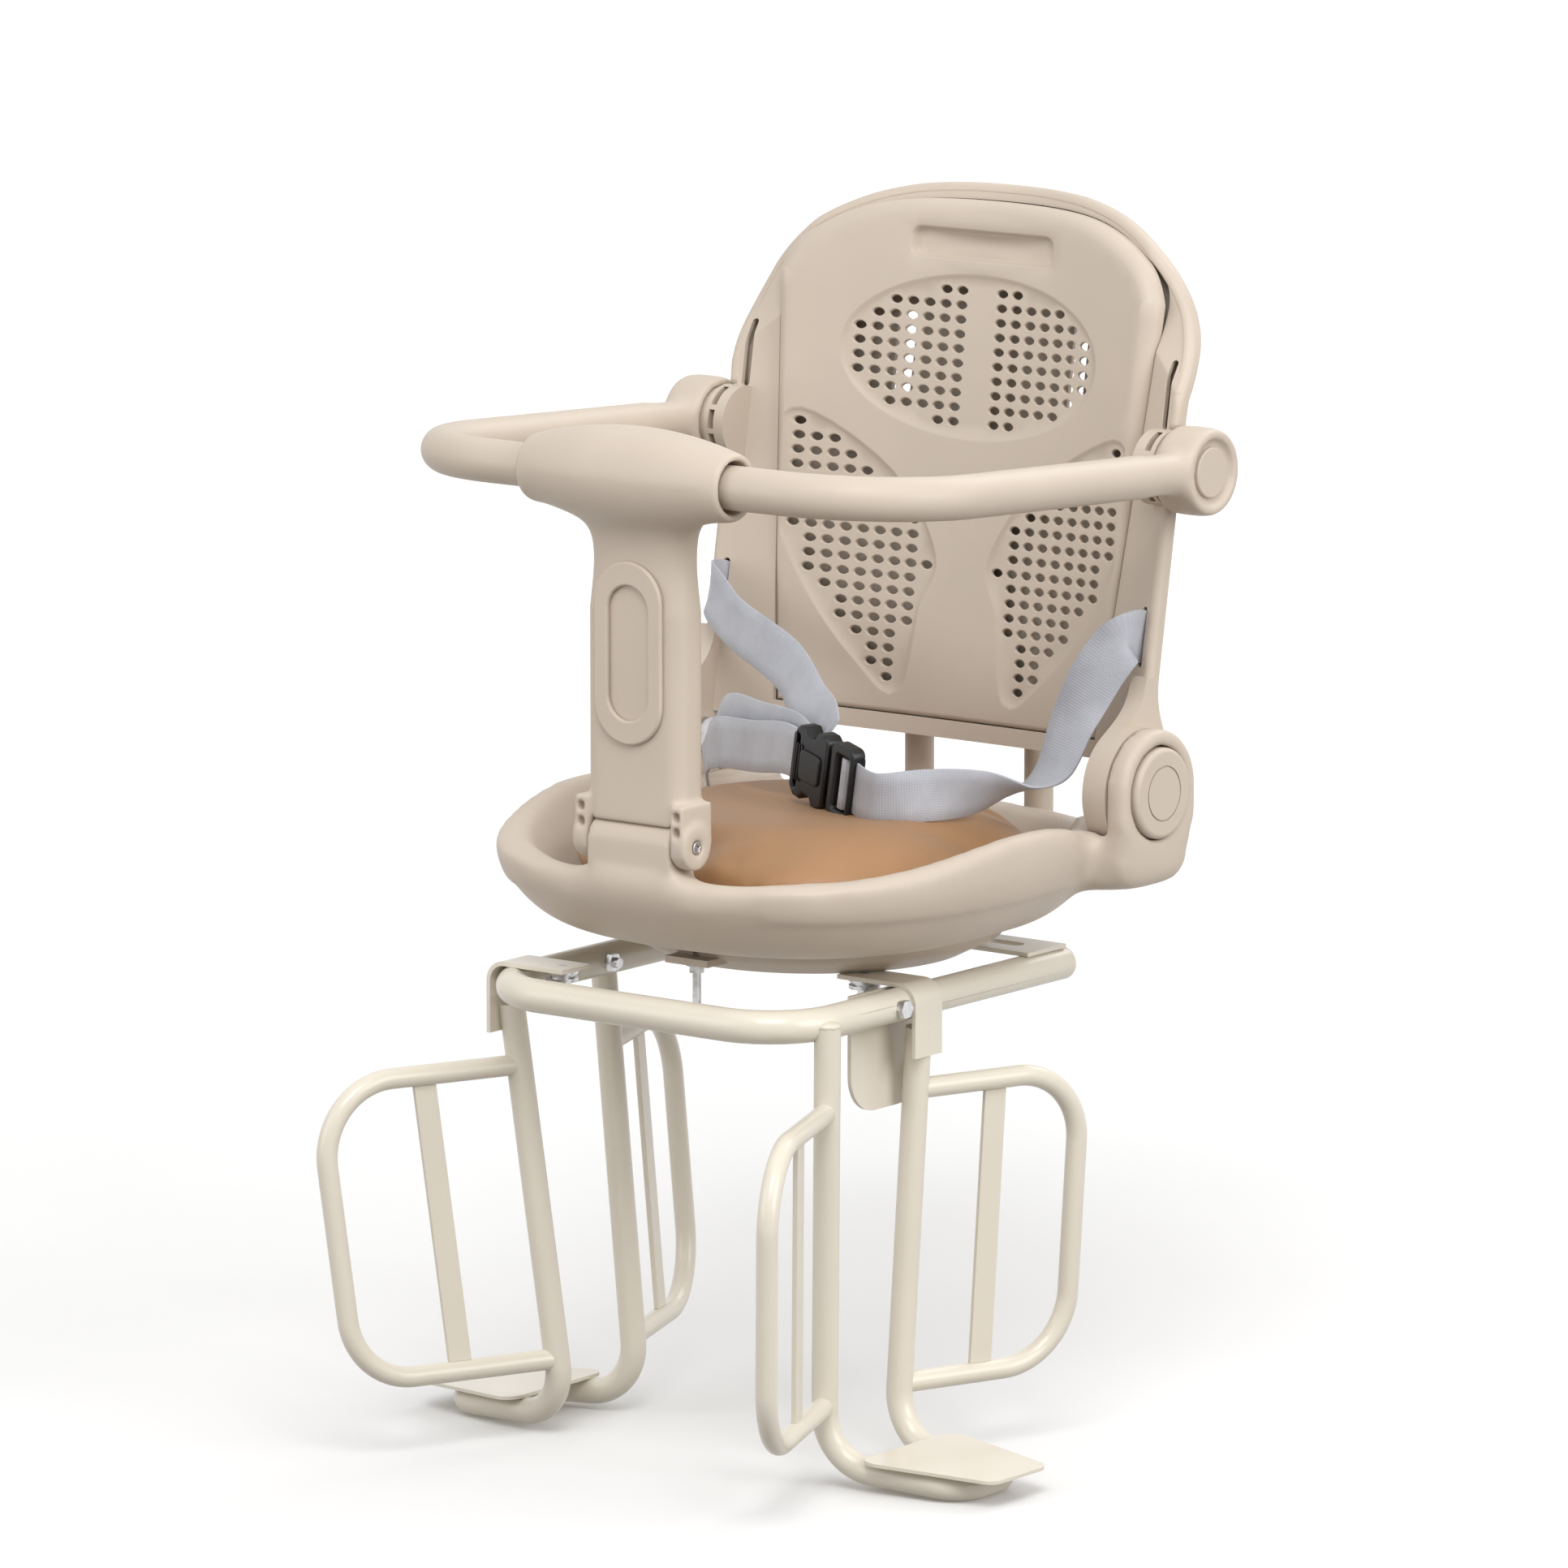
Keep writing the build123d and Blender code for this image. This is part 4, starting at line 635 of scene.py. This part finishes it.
def panel_face(face_edge, fields, recess, holes):
    """The face with its sunk fields, its recess and its holes, in triangles."""
    points, edges, sink = [], [], []
    for ring, depth in face_rings(face_edge, fields, recess, holes):
        first = len(points)
        points += ring
        sink += [depth] * len(ring)
        edges += [(first + i, first + (i + 1) % len(ring)) for i in range(len(ring))]
    for x, h, depth in free_points(face_edge, fields, recess, holes):
        points.append(Vector((x, h)))
        sink.append(depth)
    flat, _, faces, origin, _, _ = delaunay_2d_cdt(points, edges, [], 0, SAME_VIEW_POINT)
    middle = np.array([[sum(flat[i][k] for i in face) / len(face) for k in (0, 1)] for face in faces])
    kept = inside(face_edge, middle[:, 0], middle[:, 1])
    for hole in holes:
        near = np.nonzero(np.hypot(middle[:, 0] - hole[0], middle[:, 1] - hole[1]) < HOLE_L)[0]
        kept[near] &= ~inside(lens(hole, 0), middle[near, 0], middle[near, 1])
    shape = bmesh.new()
    verts = []
    for point, source in zip(flat, origin):
        verts.append(shape.verts.new(on_panel(point, max((sink[i] for i in source), default=0))))
    for face, keep in zip(faces, kept):
        if keep:
            shape.faces.new([verts[i] for i in reversed(face)])
    bmesh.ops.delete(shape, geom=[v for v in shape.verts if not v.link_faces], context="VERTS")
    return shape


def hole_walls(shape, holes):
    """The walls of the holes, through the panel."""
    for hole in holes:
        front, rear = ([shape.verts.new(on_panel(p, depth)) for p in lens(hole, 0)]
                       for depth in (FIELD_SINK + HOLE_CHAMFER, PANEL_T))
        ring_faces(shape, front, rear)
    bmesh.ops.remove_doubles(shape, verts=shape.verts, dist=SAME_RING_POINT)


def panel_roll(shape, outline, face_edge, roll):
    """The rounded edge of the panel and the wall that goes back into the frame."""
    rings = []
    for step in range(ROLL_STEPS + 1):
        turn = math.radians(90 * step / ROLL_STEPS)
        ring = []
        for p, edge, reach in zip(outline, face_edge, roll):
            at = edge.lerp(p, math.sin(turn))
            depth = panel_depth(edge.x, edge.y) + reach * (1 - math.cos(turn))
            ring.append(shape.verts.new(back_place(at.x, depth, at.y)))
        rings.append(ring)
    rings.append([shape.verts.new(on_panel(p, ROLL_WALL)) for p in outline])
    for inner, outer in zip(rings, rings[1:]):
        ring_faces(shape, inner, outer)
    bmesh.ops.remove_doubles(shape, verts=shape.verts, dist=SAME_RING_POINT)


def back_panel(material):
    """The dished panel: rolled edge, sunk fields, a letter-box recess and its holes."""
    outline = panel_outline()
    grown = [max(0, min(1, (p.y - ROLL_LOW_H) / (ROLL_HIGH_H - ROLL_LOW_H))) for p in outline]
    roll = [ROLL_LOW + (ROLL_HIGH - ROLL_LOW) * share for share in grown]
    face_edge = inset_outline(outline, roll)
    fields = field_outlines()
    holes = hole_places(fields)
    recess = rounded_box(RECESS_L / 2, RECESS_W / 2, RECESS_W / 3, centre=(0, RECESS_H), steps=5)
    shape = panel_face(face_edge, fields, recess, holes)
    hole_walls(shape, holes)
    panel_roll(shape, outline, face_edge, roll)
    bmesh.ops.recalc_face_normals(shape, faces=shape.faces)
    mesh = as_mesh(shape, "back_panel")
    add_piece("back_panel_skin", mesh, "backrest", material, "back_panel")


# Rolled rim of the backrest

def dished(x, edge, mid):
    """Depth of a face bent to an arc across the backrest, from its depth at the edges and in the middle."""
    wide = BACK_HALF_W + BACK_SIDE_LAP
    reach = (wide * wide + (mid - edge) ** 2) / (2 * (mid - edge))
    return mid - reach + math.sqrt(reach * reach - x * x)


def swept(height):
    """How far the frame's edge is swept back at a height."""
    share = max(0, min(1, (height - BACK_WAIST_H) / (PANEL_CORNER_H - BACK_WAIST_H)))
    return BACK_TOP_SWEEP * share * share * (3 - 2 * share)


def rim_section():
    """Points round the rim: the inset from the arch, then the depth under the front or else the rear face."""
    turns = [math.radians(90 * k / RIM_STEPS) for k in range(RIM_STEPS + 1)]
    half = [(RIM_TUCK_IN, RIM_TUCK), (RIM_FLAT_IN, -RIM_PROUD)]
    half += [(RIM_R * (1 - math.sin(a)), RIM_R * (1 - math.cos(a)) - RIM_PROUD) for a in turns]
    return [(*point, True) for point in half] + [(*point, False) for point in reversed(half)]


def rim_place(point, depth, front):
    if front:
        return back_place(point.x, max(dished(point.x, 0, BACK_MID_FRONT), swept(point.y)) + depth, point.y)
    rear = max(dished(point.x, BACK_EDGE_T, BACK_MID_REAR), swept(point.y) + BACK_EDGE_T)
    return back_place(point.x, rear - depth, point.y)


def back_rim(material):
    """A rounded edge round the arch of the frame, on its true curve."""
    rise = BACK_TOP_H - BACK_WAIST_H
    half = [(BACK_HALF_W, BACK_WAIST_H - RIM_LEAD)]
    half += [(BACK_HALF_W * across, BACK_WAIST_H + up * rise) for across, up in ARCH]
    knots = half + [(-x, h) for x, h in reversed(half[:-1])]
    run = smooth_curve(knots, RIM_SPAN, False)[RIM_SPAN:-RIM_SPAN]
    shape = bmesh.new()
    rows = []
    for i, p in enumerate(run):
        along = (run[min(i + 1, len(run) - 1)] - run[max(i - 1, 0)]).normalized()
        inward = Vector((-along.y, along.x))
        section = [rim_place(p + inward * inset, depth, front) for inset, depth, front in rim_section()]
        rows.append([shape.verts.new(place) for place in section])
    for row, after in zip(rows, rows[1:]):
        ring_faces(shape, row, after)
    shape.faces.new(rows[0])
    shape.faces.new(rows[-1])
    bmesh.ops.recalc_face_normals(shape, faces=shape.faces)
    add_piece("back_rim", as_mesh(shape, "back_rim"), "backrest", material)


# Weld beads

def weld_bead(name, place, material):
    """The flat dome of weld metal that closes the top of a leg against the base tube."""
    shape = bmesh.new()
    bmesh.ops.create_icosphere(shape, subdivisions=3, radius=1)
    for vertex in shape.verts:
        x, y, z = vertex.co
        radius = WELD_R * (1 + WELD_RIPPLE * math.sin(WELD_RIPPLES * math.atan2(y, x)) * (1 - z ** 2))
        vertex.co = (Vector((x * radius, y * radius, z * WELD_RISE)) + Vector(place)) * MM
    add_piece(name, as_mesh(shape, name), "seat", material)


# Cushion

def cushion(material):
    """The pad, swollen by a cloth simulation from a slightly smaller copy of its solid."""
    low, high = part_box("seat_cushion")
    centre = Vector(((low.x + high.x) / 2, (low.y + high.y) / 2, low.z))
    mesh = even_mesh(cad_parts["seat_cushion"], PAD_GRID)
    for vertex in mesh.vertices:
        vertex.co = centre + (vertex.co - centre) * PAD_SHRINK
    mesh = swollen(mesh)
    for vertex in mesh.vertices:
        vertex.co.z = max(vertex.co.z, low.z + PAD_GAP)
    relax(mesh, everywhere, PAD_ROUNDS)
    piece = add_piece("cushion", mesh, "seat", material, "seat_cushion")
    finer = piece.modifiers.new("finer", "SUBSURF")
    finer.levels = 1
    finer.render_levels = 1


def swollen(mesh):
    """The pad after a few frames of cloth under pressure, with each point's move limited."""
    rest = points_of(mesh)
    piece = linked("pad", mesh)
    cloth = piece.modifiers.new("cloth", "CLOTH")
    cloth.settings.use_pressure = True
    cloth.settings.uniform_pressure_force = PAD_PRESSURE
    cloth.settings.effector_weights.gravity = 0
    cloth.settings.quality = PAD_QUALITY
    for step in range(1, PAD_FRAMES + 1):
        bpy.context.scene.frame_set(step)
    mesh = baked(piece)
    bpy.context.scene.frame_set(1)
    shift = points_of(mesh) - rest
    far = np.maximum(np.linalg.norm(shift, axis=1), 1e-9)
    set_points(mesh, rest + shift * np.minimum(1, PAD_MOVE / far)[:, None])
    return mesh


# Harness

def ribbon(name, route, material, body, node=None):
    """A woven strap through points in millimetres, each with the direction of its width."""
    places = smooth_curve([p for p, _ in route], WEB_SPAN, False)
    widths = smooth_curve([w for _, w in route], WEB_SPAN, False)
    half_w, half_t = WEB_W / 2, WEB_T / 2
    flat = [(x, -half_t) for x in (WEB_EDGE_W - half_w, -half_w / 2, 0, half_w / 2, half_w - WEB_EDGE_W)]
    section = [(-half_w, -WEB_EDGE_HALF_T)] + flat + [(half_w, -WEB_EDGE_HALF_T)]
    section += [(x, -t) for x, t in reversed(section)]
    shape = bmesh.new()
    strap = shape.loops.layers.uv.new("strap")
    rows, run, length = [], [], 0.0
    for i, place in enumerate(places):
        along = (places[min(i + 1, len(places) - 1)] - places[max(i - 1, 0)]).normalized()
        across = (widths[i] - along * widths[i].dot(along)).normalized()
        up = along.cross(across)
        rows.append([shape.verts.new((place + across * x + up * t) * MM) for x, t in section])
        if i:
            length += (place - places[i - 1]).length
        run.append(length)
    for i, (row, after) in enumerate(zip(rows, rows[1:])):
        for j, face in enumerate(ring_faces(shape, row, after)):
            k = (j + 1) % len(section)
            for corner, (station, column) in zip(face.loops, ((i, j), (i, k), (i + 1, k), (i + 1, j))):
                corner[strap].uv = (run[station] * MM, section[column][0] * MM)
    shape.faces.new(rows[0])
    shape.faces.new(rows[-1])
    bmesh.ops.recalc_face_normals(shape, faces=shape.faces)
    return add_piece(name, as_mesh(shape, name), body, material, node)


def plate(outlines, thickness, bevel, lift=0.0):
    """A flat plate with rounded edges, from an outer outline and any holes, in millimetres."""
    curve = bpy.data.curves.new("plate", "CURVE")
    curve.dimensions = "2D"
    curve.fill_mode = "BOTH"
    curve.extrude = (thickness / 2 - bevel) * MM
    curve.bevel_depth = bevel * MM
    curve.bevel_resolution = 3
    curve.offset = -bevel * MM
    for outline in outlines:
        spline = curve.splines.new("POLY")
        spline.points.add(len(outline) - 1)
        for point, (x, y) in zip(spline.points, outline):
            point.co = (x * MM, y * MM, 0, 1)
        spline.use_cyclic_u = True
    mesh = baked(linked("plate", curve))
    mesh.transform(Matrix.Translation((0, 0, lift * MM)))
    return mesh


def joined(meshes, place):
    """One mesh of several, moved to its place."""
    shape = bmesh.new()
    for mesh in meshes:
        shape.from_mesh(mesh)
    whole = as_mesh(shape, "joined")
    whole.transform(place)
    return whole


def buckle_axes():
    """Axes of the buckle: along the strap, across it and outwards, dipped to the child's left."""
    level = Vector((*BUCKLE_ALONG, 0)).normalized()
    along = level * math.cos(BUCKLE_DIP) - Vector((0, 0, math.sin(BUCKLE_DIP)))
    out = Vector((level.y, -level.x, 0))
    axes = Matrix((along, out.cross(along), out)).transposed().to_4x4()
    axes.translation = Vector(BUCKLE_CENTRE) * MM
    return axes


def by_buckle(axes, along, out):
    """A place in millimetres, by its distances along the strap and outwards from the buckle's middle."""
    return axes @ (Vector((along, 0, out)) * MM) / MM


def buckle_body(axes, material):
    """The female half: a waisted body with a slot for the webbing, a raised lid and three ribs."""
    half = BUCKLE_H / 2
    edge = [(-1, half - 3), (-5, half), (-11, half), (-14, half - 4.5), (-20, half - 4.5),
            (-23, half - 0.5), (-29, half - 1), (-32, half - 4)]
    body = edge + [(x, -y) for x, y in reversed(edge)]
    slot = rounded_box(half_w=1.6, half_h=WEB_W / 2 + 0.6, radius=1.5, centre=(-29, 0), steps=3)
    lid = rounded_box(half_w=9.5, half_h=9, radius=3.5, centre=(-14.5, 0), steps=4)
    meshes = [plate([body, slot], BUCKLE_T, BUCKLE_BEVEL), plate([lid], 2.4, 0.9, lift=BUCKLE_T / 2 + 0.3)]
    for i in range(3):
        rib = rounded_box(half_w=0.5, half_h=11, radius=0.45, centre=(2.2 * i - 27.9, 0), steps=2)
        meshes.append(plate([rib], 1.4, 0.4, lift=BUCKLE_T / 2 + 0.2))
    add_piece("buckle_body", joined(meshes, axes), "seat", material, "buckle_female")


def buckle_tongue(axes, material):
    """The male half: a frame with a bar for the webbing, a tongue and two prongs."""
    ring = rounded_box(half_w=BUCKLE_MALE_L / 2 - 0.6, half_h=BUCKLE_H / 2, radius=5,
                       centre=(BUCKLE_MALE_L / 2 + 0.6, 0), steps=5)
    window = rounded_box(half_w=6.2, half_h=WEB_W / 2 + 1, radius=1.6, centre=(BUCKLE_BAR_AT, 0), steps=4)
    bar = rounded_box(half_w=1.8, half_h=WEB_W / 2 + 2.5, radius=1.2, centre=(BUCKLE_BAR_AT, 0), steps=3)
    tongue = rounded_box(half_w=8, half_h=9.5, radius=2, centre=(-6, 0), steps=3)
    meshes = [plate([ring, window], 10, BUCKLE_BEVEL), plate([bar], 5, 1.2), plate([tongue], 5, 0.8)]
    for side in (1, -1):
        prong = [(0.5, 13), (0.5, 16), (-10, 20.6), (-14.5, 20.4), (-15, 17.5)]
        meshes.append(plate([[(x, side * y) for x, y in prong]], 6, 0.9))
    add_piece("buckle_tongue", joined(meshes, axes), "seat", material, "buckle_male")


def buckle_wrap(axes, material):
    """The webbing round the bar of the male half."""
    turns = [math.radians(WRAP_FROM + WRAP_STEP * i) for i in range(WRAP_POINTS)]
    route = []
    for a in turns:
        place = by_buckle(axes, BUCKLE_BAR_AT + WRAP_HALF_L * math.cos(a), WRAP_HALF_T * math.sin(a))
        route.append((place, axes.col[1].xyz))
    ribbon("strap_wrap", route, material, "seat")


def harness(axes, material):
    """The straps from backrest and seat to the buckle, by listed points and width directions."""
    across = axes.col[1].xyz
    tuck, mouth = back_place(149, 13, 86) / MM, back_place(149, -8, 85) / MM
    left = [(tuck, (0, 0.17, 0.98)), (mouth, (0.1, 0.1, 1)), ((138, 127, 173), (-0.74, -0.35, 0.52)),
            ((126, 119, 145), (-1, -0.1, -0.1)), ((118, 110, 116), (-1, 0.2, 0)),
            ((110, 92, 106), (-0.85, 0.45, -0.25)), ((97, 62, 107), (-0.35, 0.1, -0.9)),
            ((83, 34, 108), (0, 0, -1)), (by_buckle(axes, 40, 0), -across), (by_buckle(axes, 19, 0), -across)]
    piece = ribbon("strap_left_web", left, material, None, "strap_left")
    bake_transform(piece)
    tuck, mouth = back_place(-149, 13, 86) / MM, back_place(-149, -8, 86) / MM
    shoulder = [(tuck, (0, 0.17, 0.98)), (mouth, (0, 0.17, 0.98)), ((-122, 124, 176), (0.1, 0.1, 1)),
                ((-63, 98, 160), (0.4, 0.15, 0.9)), ((-20, 62, 146), (0.7, 0.1, 0.7)),
                ((2, 46, 141), (0.8, -0.2, 0.55)),
                (by_buckle(axes, -14, -4) + Vector((0, 0, 16)), (0.8, -0.25, 0.5))]
    piece = ribbon("strap_shoulder_web", shoulder, material, None, "strap_shoulder")
    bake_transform(piece)
    waist = [((-124, 100, 94), (0, 0, 1)), ((-113, 90, 108), (0.1, 0.1, 1)), ((-92, 74, 115), (0, 0.05, 1)),
             ((-50, 51, 120), (0, 0, 1)), (by_buckle(axes, -48, 0), across),
             (by_buckle(axes, -28, 0), across)]
    ribbon("strap_waist_web", waist, material, "seat", "strap_waist")
    behind = [((-118, 104, 106), (0, 0, 1)), ((-92, 82, 127), (0, 0.05, 1)), ((-50, 58, 130), (0, 0, 1)),
              (by_buckle(axes, -47, -6) + Vector((0, 0, 6)), across),
              (by_buckle(axes, -28, -3) + Vector((0, 0, 4)), across)]
    ribbon("strap_behind_web", behind, material, "seat")


def stitching(axes, material):
    """Two rows of thread across the waist strap, beside the buckle."""
    stitches = []
    for along in STITCH_ALONG:
        for row in range(STITCH_ROWS):
            centre = (along, STITCH_PITCH * (row - (STITCH_ROWS - 1) / 2))
            thread = rounded_box(half_w=0.35, half_h=1.1, radius=0.3, centre=centre, steps=2)
            stitches.append(plate([thread], 0.6, 0.2, lift=WEB_T / 2 + 0.05))
    add_piece("stitches", joined(stitches, axes), "seat", material)


def pin_screw(material):
    """Cross-slot screw head in the end of the post's pin."""
    cross, corner = [], [(SLOT_HALF_W, SLOT_REACH), (-SLOT_HALF_W, SLOT_REACH), (-SLOT_HALF_W, SLOT_HALF_W)]
    for _ in range(4):
        cross += corner
        corner = [(-y, x) for x, y in corner]
    mesh = plate([ellipse((0, 0), SCREW_R, SCREW_R, 24), cross], SCREW_T, SCREW_BEVEL)
    turn = Matrix.Rotation(math.radians(90), 4, "Y") @ Matrix.Rotation(SCREW_TURN, 4, "Z")
    mesh.transform(Matrix.Translation(Vector((SCREW_X, POST_PIN_Y, POST_PIN_Z)) * MM) @ turn)
    add_piece("pin_screw", mesh, "seat", material)


# CAD pieces that keep their own shape

def rounded(node, width, angle):
    """Soft moulded or deburred edges on a CAD piece, by modifiers alone."""
    shaded_smooth(node.data)
    weld = node.modifiers.new("weld", "WELD")
    weld.merge_threshold = SAME_CAD_POINT
    edge = node.modifiers.new("edge", "BEVEL")
    edge.width = width
    edge.segments = 2
    edge.limit_method = "ANGLE"
    edge.angle_limit = math.radians(angle)
    normals = node.modifiers.new("normals", "WEIGHTED_NORMAL")
    normals.weight = 80


def finish_nodes(nodes, finishes):
    for name, node in nodes.items():
        finish, width, angle = next(row[1:] for row in NODE_FINISHES if name.startswith(row[0]))
        painted(node, finishes[finish])
        if width:
            rounded(node, width, angle)


# Camera and studio

def add_camera():
    level, up = math.cos(VIEW_ELEVATION), math.sin(VIEW_ELEVATION)
    back = Vector((math.sin(VIEW_AZIMUTH) * level, -math.cos(VIEW_AZIMUTH) * level, up))
    data = bpy.data.cameras.new("camera")
    data.sensor_width = SENSOR
    data.lens = FOCAL
    data.clip_end = VIEW_FAR
    camera = linked("camera", data)
    camera.location = VIEW_TARGET + back * VIEW_DISTANCE
    camera.rotation_euler = back.to_track_quat("Z", "Y").to_euler()
    bpy.context.scene.camera = camera


def add_lamp(name, place, size, power):
    data = bpy.data.lights.new(name, "AREA")
    data.shape = "DISK"
    data.size = size
    data.energy = power
    lamp = linked(name, data)
    lamp.location = place
    lamp.rotation_euler = (Vector(place) - VIEW_TARGET).to_track_quat("Z", "Y").to_euler()


def add_world():
    """Light that grows from below to above, and plain white where the camera or a reflection sees it."""
    world = bpy.data.worlds.new("studio")
    bpy.context.scene.world = world
    world.use_nodes = True
    tree = world.node_tree
    where = tree.nodes.new("ShaderNodeTexCoord")
    split = tree.nodes.new("ShaderNodeSeparateXYZ")
    tree.links.new(where.outputs["Generated"], split.inputs["Vector"])
    sky = tree.nodes["Background"]
    sky.inputs["Strength"].default_value = 1
    tree.links.new(ramp(tree, split.outputs["Z"], SKY_LOW, SKY_HIGH, 0.0, 0.9), sky.inputs["Color"])
    white = tree.nodes.new("ShaderNodeBackground")
    white.inputs["Color"].default_value = (1, 1, 1, 1)
    rays = tree.nodes.new("ShaderNodeLightPath")
    seen = rays.outputs["Is Camera Ray"]
    for kind in ("Is Glossy Ray", "Is Transmission Ray"):
        either = tree.nodes.new("ShaderNodeMath")
        either.operation = "MAXIMUM"
        tree.links.new(seen, either.inputs[0])
        tree.links.new(rays.outputs[kind], either.inputs[1])
        seen = either.outputs["Value"]
    mix = tree.nodes.new("ShaderNodeMixShader")
    tree.links.new(seen, mix.inputs["Fac"])
    tree.links.new(sky.outputs["Background"], mix.inputs[1])
    tree.links.new(white.outputs["Background"], mix.inputs[2])
    tree.links.new(mix.outputs["Shader"], tree.nodes["World Output"].inputs["Surface"])


def add_floor():
    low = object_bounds()[0][2]
    bpy.ops.mesh.primitive_plane_add(size=FLOOR_SIZE, location=(0, 0, low - FLOOR_GAP))
    floor = bpy.context.object
    floor.name = "floor"
    floor.visible_diffuse = False
    material, tree, sockets, at = new_material("floor")
    cloud = noise(tree, at, scale=3, detail=2)
    tree.links.new(ramp(tree, cloud, FLOOR_DARK, FLOOR_LIGHT), sockets["Base Color"])
    sockets["Roughness"].default_value = 0.9
    sockets["Specular IOR Level"].default_value = 0.1
    sockets["Emission Color"].default_value = (1, 1, 1, 1)
    away = tree.nodes.new("ShaderNodeVectorMath")
    away.operation = "LENGTH"
    tree.links.new(at, away.inputs[0])
    glow = tree.nodes.new("ShaderNodeMapRange")
    glow.inputs["From Min"].default_value = GLOW_FROM
    glow.inputs["From Max"].default_value = GLOW_FULL
    glow.inputs["To Max"].default_value = GLOW
    tree.links.new(away.outputs["Value"], glow.inputs["Value"])
    tree.links.new(glow.outputs["Result"], sockets["Emission Strength"])
    painted(floor, material)


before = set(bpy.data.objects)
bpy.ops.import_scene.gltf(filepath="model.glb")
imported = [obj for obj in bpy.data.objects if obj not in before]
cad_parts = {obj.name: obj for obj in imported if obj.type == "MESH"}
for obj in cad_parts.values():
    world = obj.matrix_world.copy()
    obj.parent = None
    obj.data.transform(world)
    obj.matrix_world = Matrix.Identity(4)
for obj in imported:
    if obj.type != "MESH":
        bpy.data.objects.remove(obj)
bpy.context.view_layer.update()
plastic = moulded_plastic("beige_plastic", BEIGE, roughness=0.48, grain=0.10)
steel = powder_coat("cream_steel", CREAM)
zinc = plated_steel("zinc_steel", ZINC)
leather = leatherette("tan_leather", TAN)
webbing = webbing_cloth("grey_webbing", SILVER)
thread = moulded_plastic("grey_thread", SILVER, roughness=0.7, grain=0.1)
black = moulded_plastic("black_plastic", BLACK, roughness=0.38, grain=0.12)
finish_nodes(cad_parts, {"plastic": plastic, "steel": steel, "zinc": zinc, "cushion": leather,
                              "webbing": webbing, "buckle": black})
moulded("shell_skin", "seat_shell", 0.0022, "seat", plastic,
        [(shell_apron, 110), (shell_ears, 50), (shell_lip, 36), (everywhere, 3)])
moulded("post_skin", "front_post", 0.0014, "front_post", plastic, [(post_neck, 220), (everywhere, 5)])
moulded("bar_skin", "guard_bar", 0.0016, "guard_bar", plastic, [(bar_hubs, 60), (everywhere, 4)])
back_panel(plastic)
back_rim(plastic)
for weld, weld_place in WELDS.items():
    weld_bead(weld, weld_place, steel)
cushion(leather)
clip = buckle_axes()
buckle_body(clip, black)
buckle_tongue(clip, black)
buckle_wrap(clip, webbing)
harness(clip, webbing)
stitching(clip, thread)
pin_screw(zinc)
add_camera()
add_world()
for lamp_name, lamp in LAMPS.items():
    add_lamp(lamp_name, *lamp)
add_floor()
bpy.context.scene.view_settings.view_transform = "Standard"
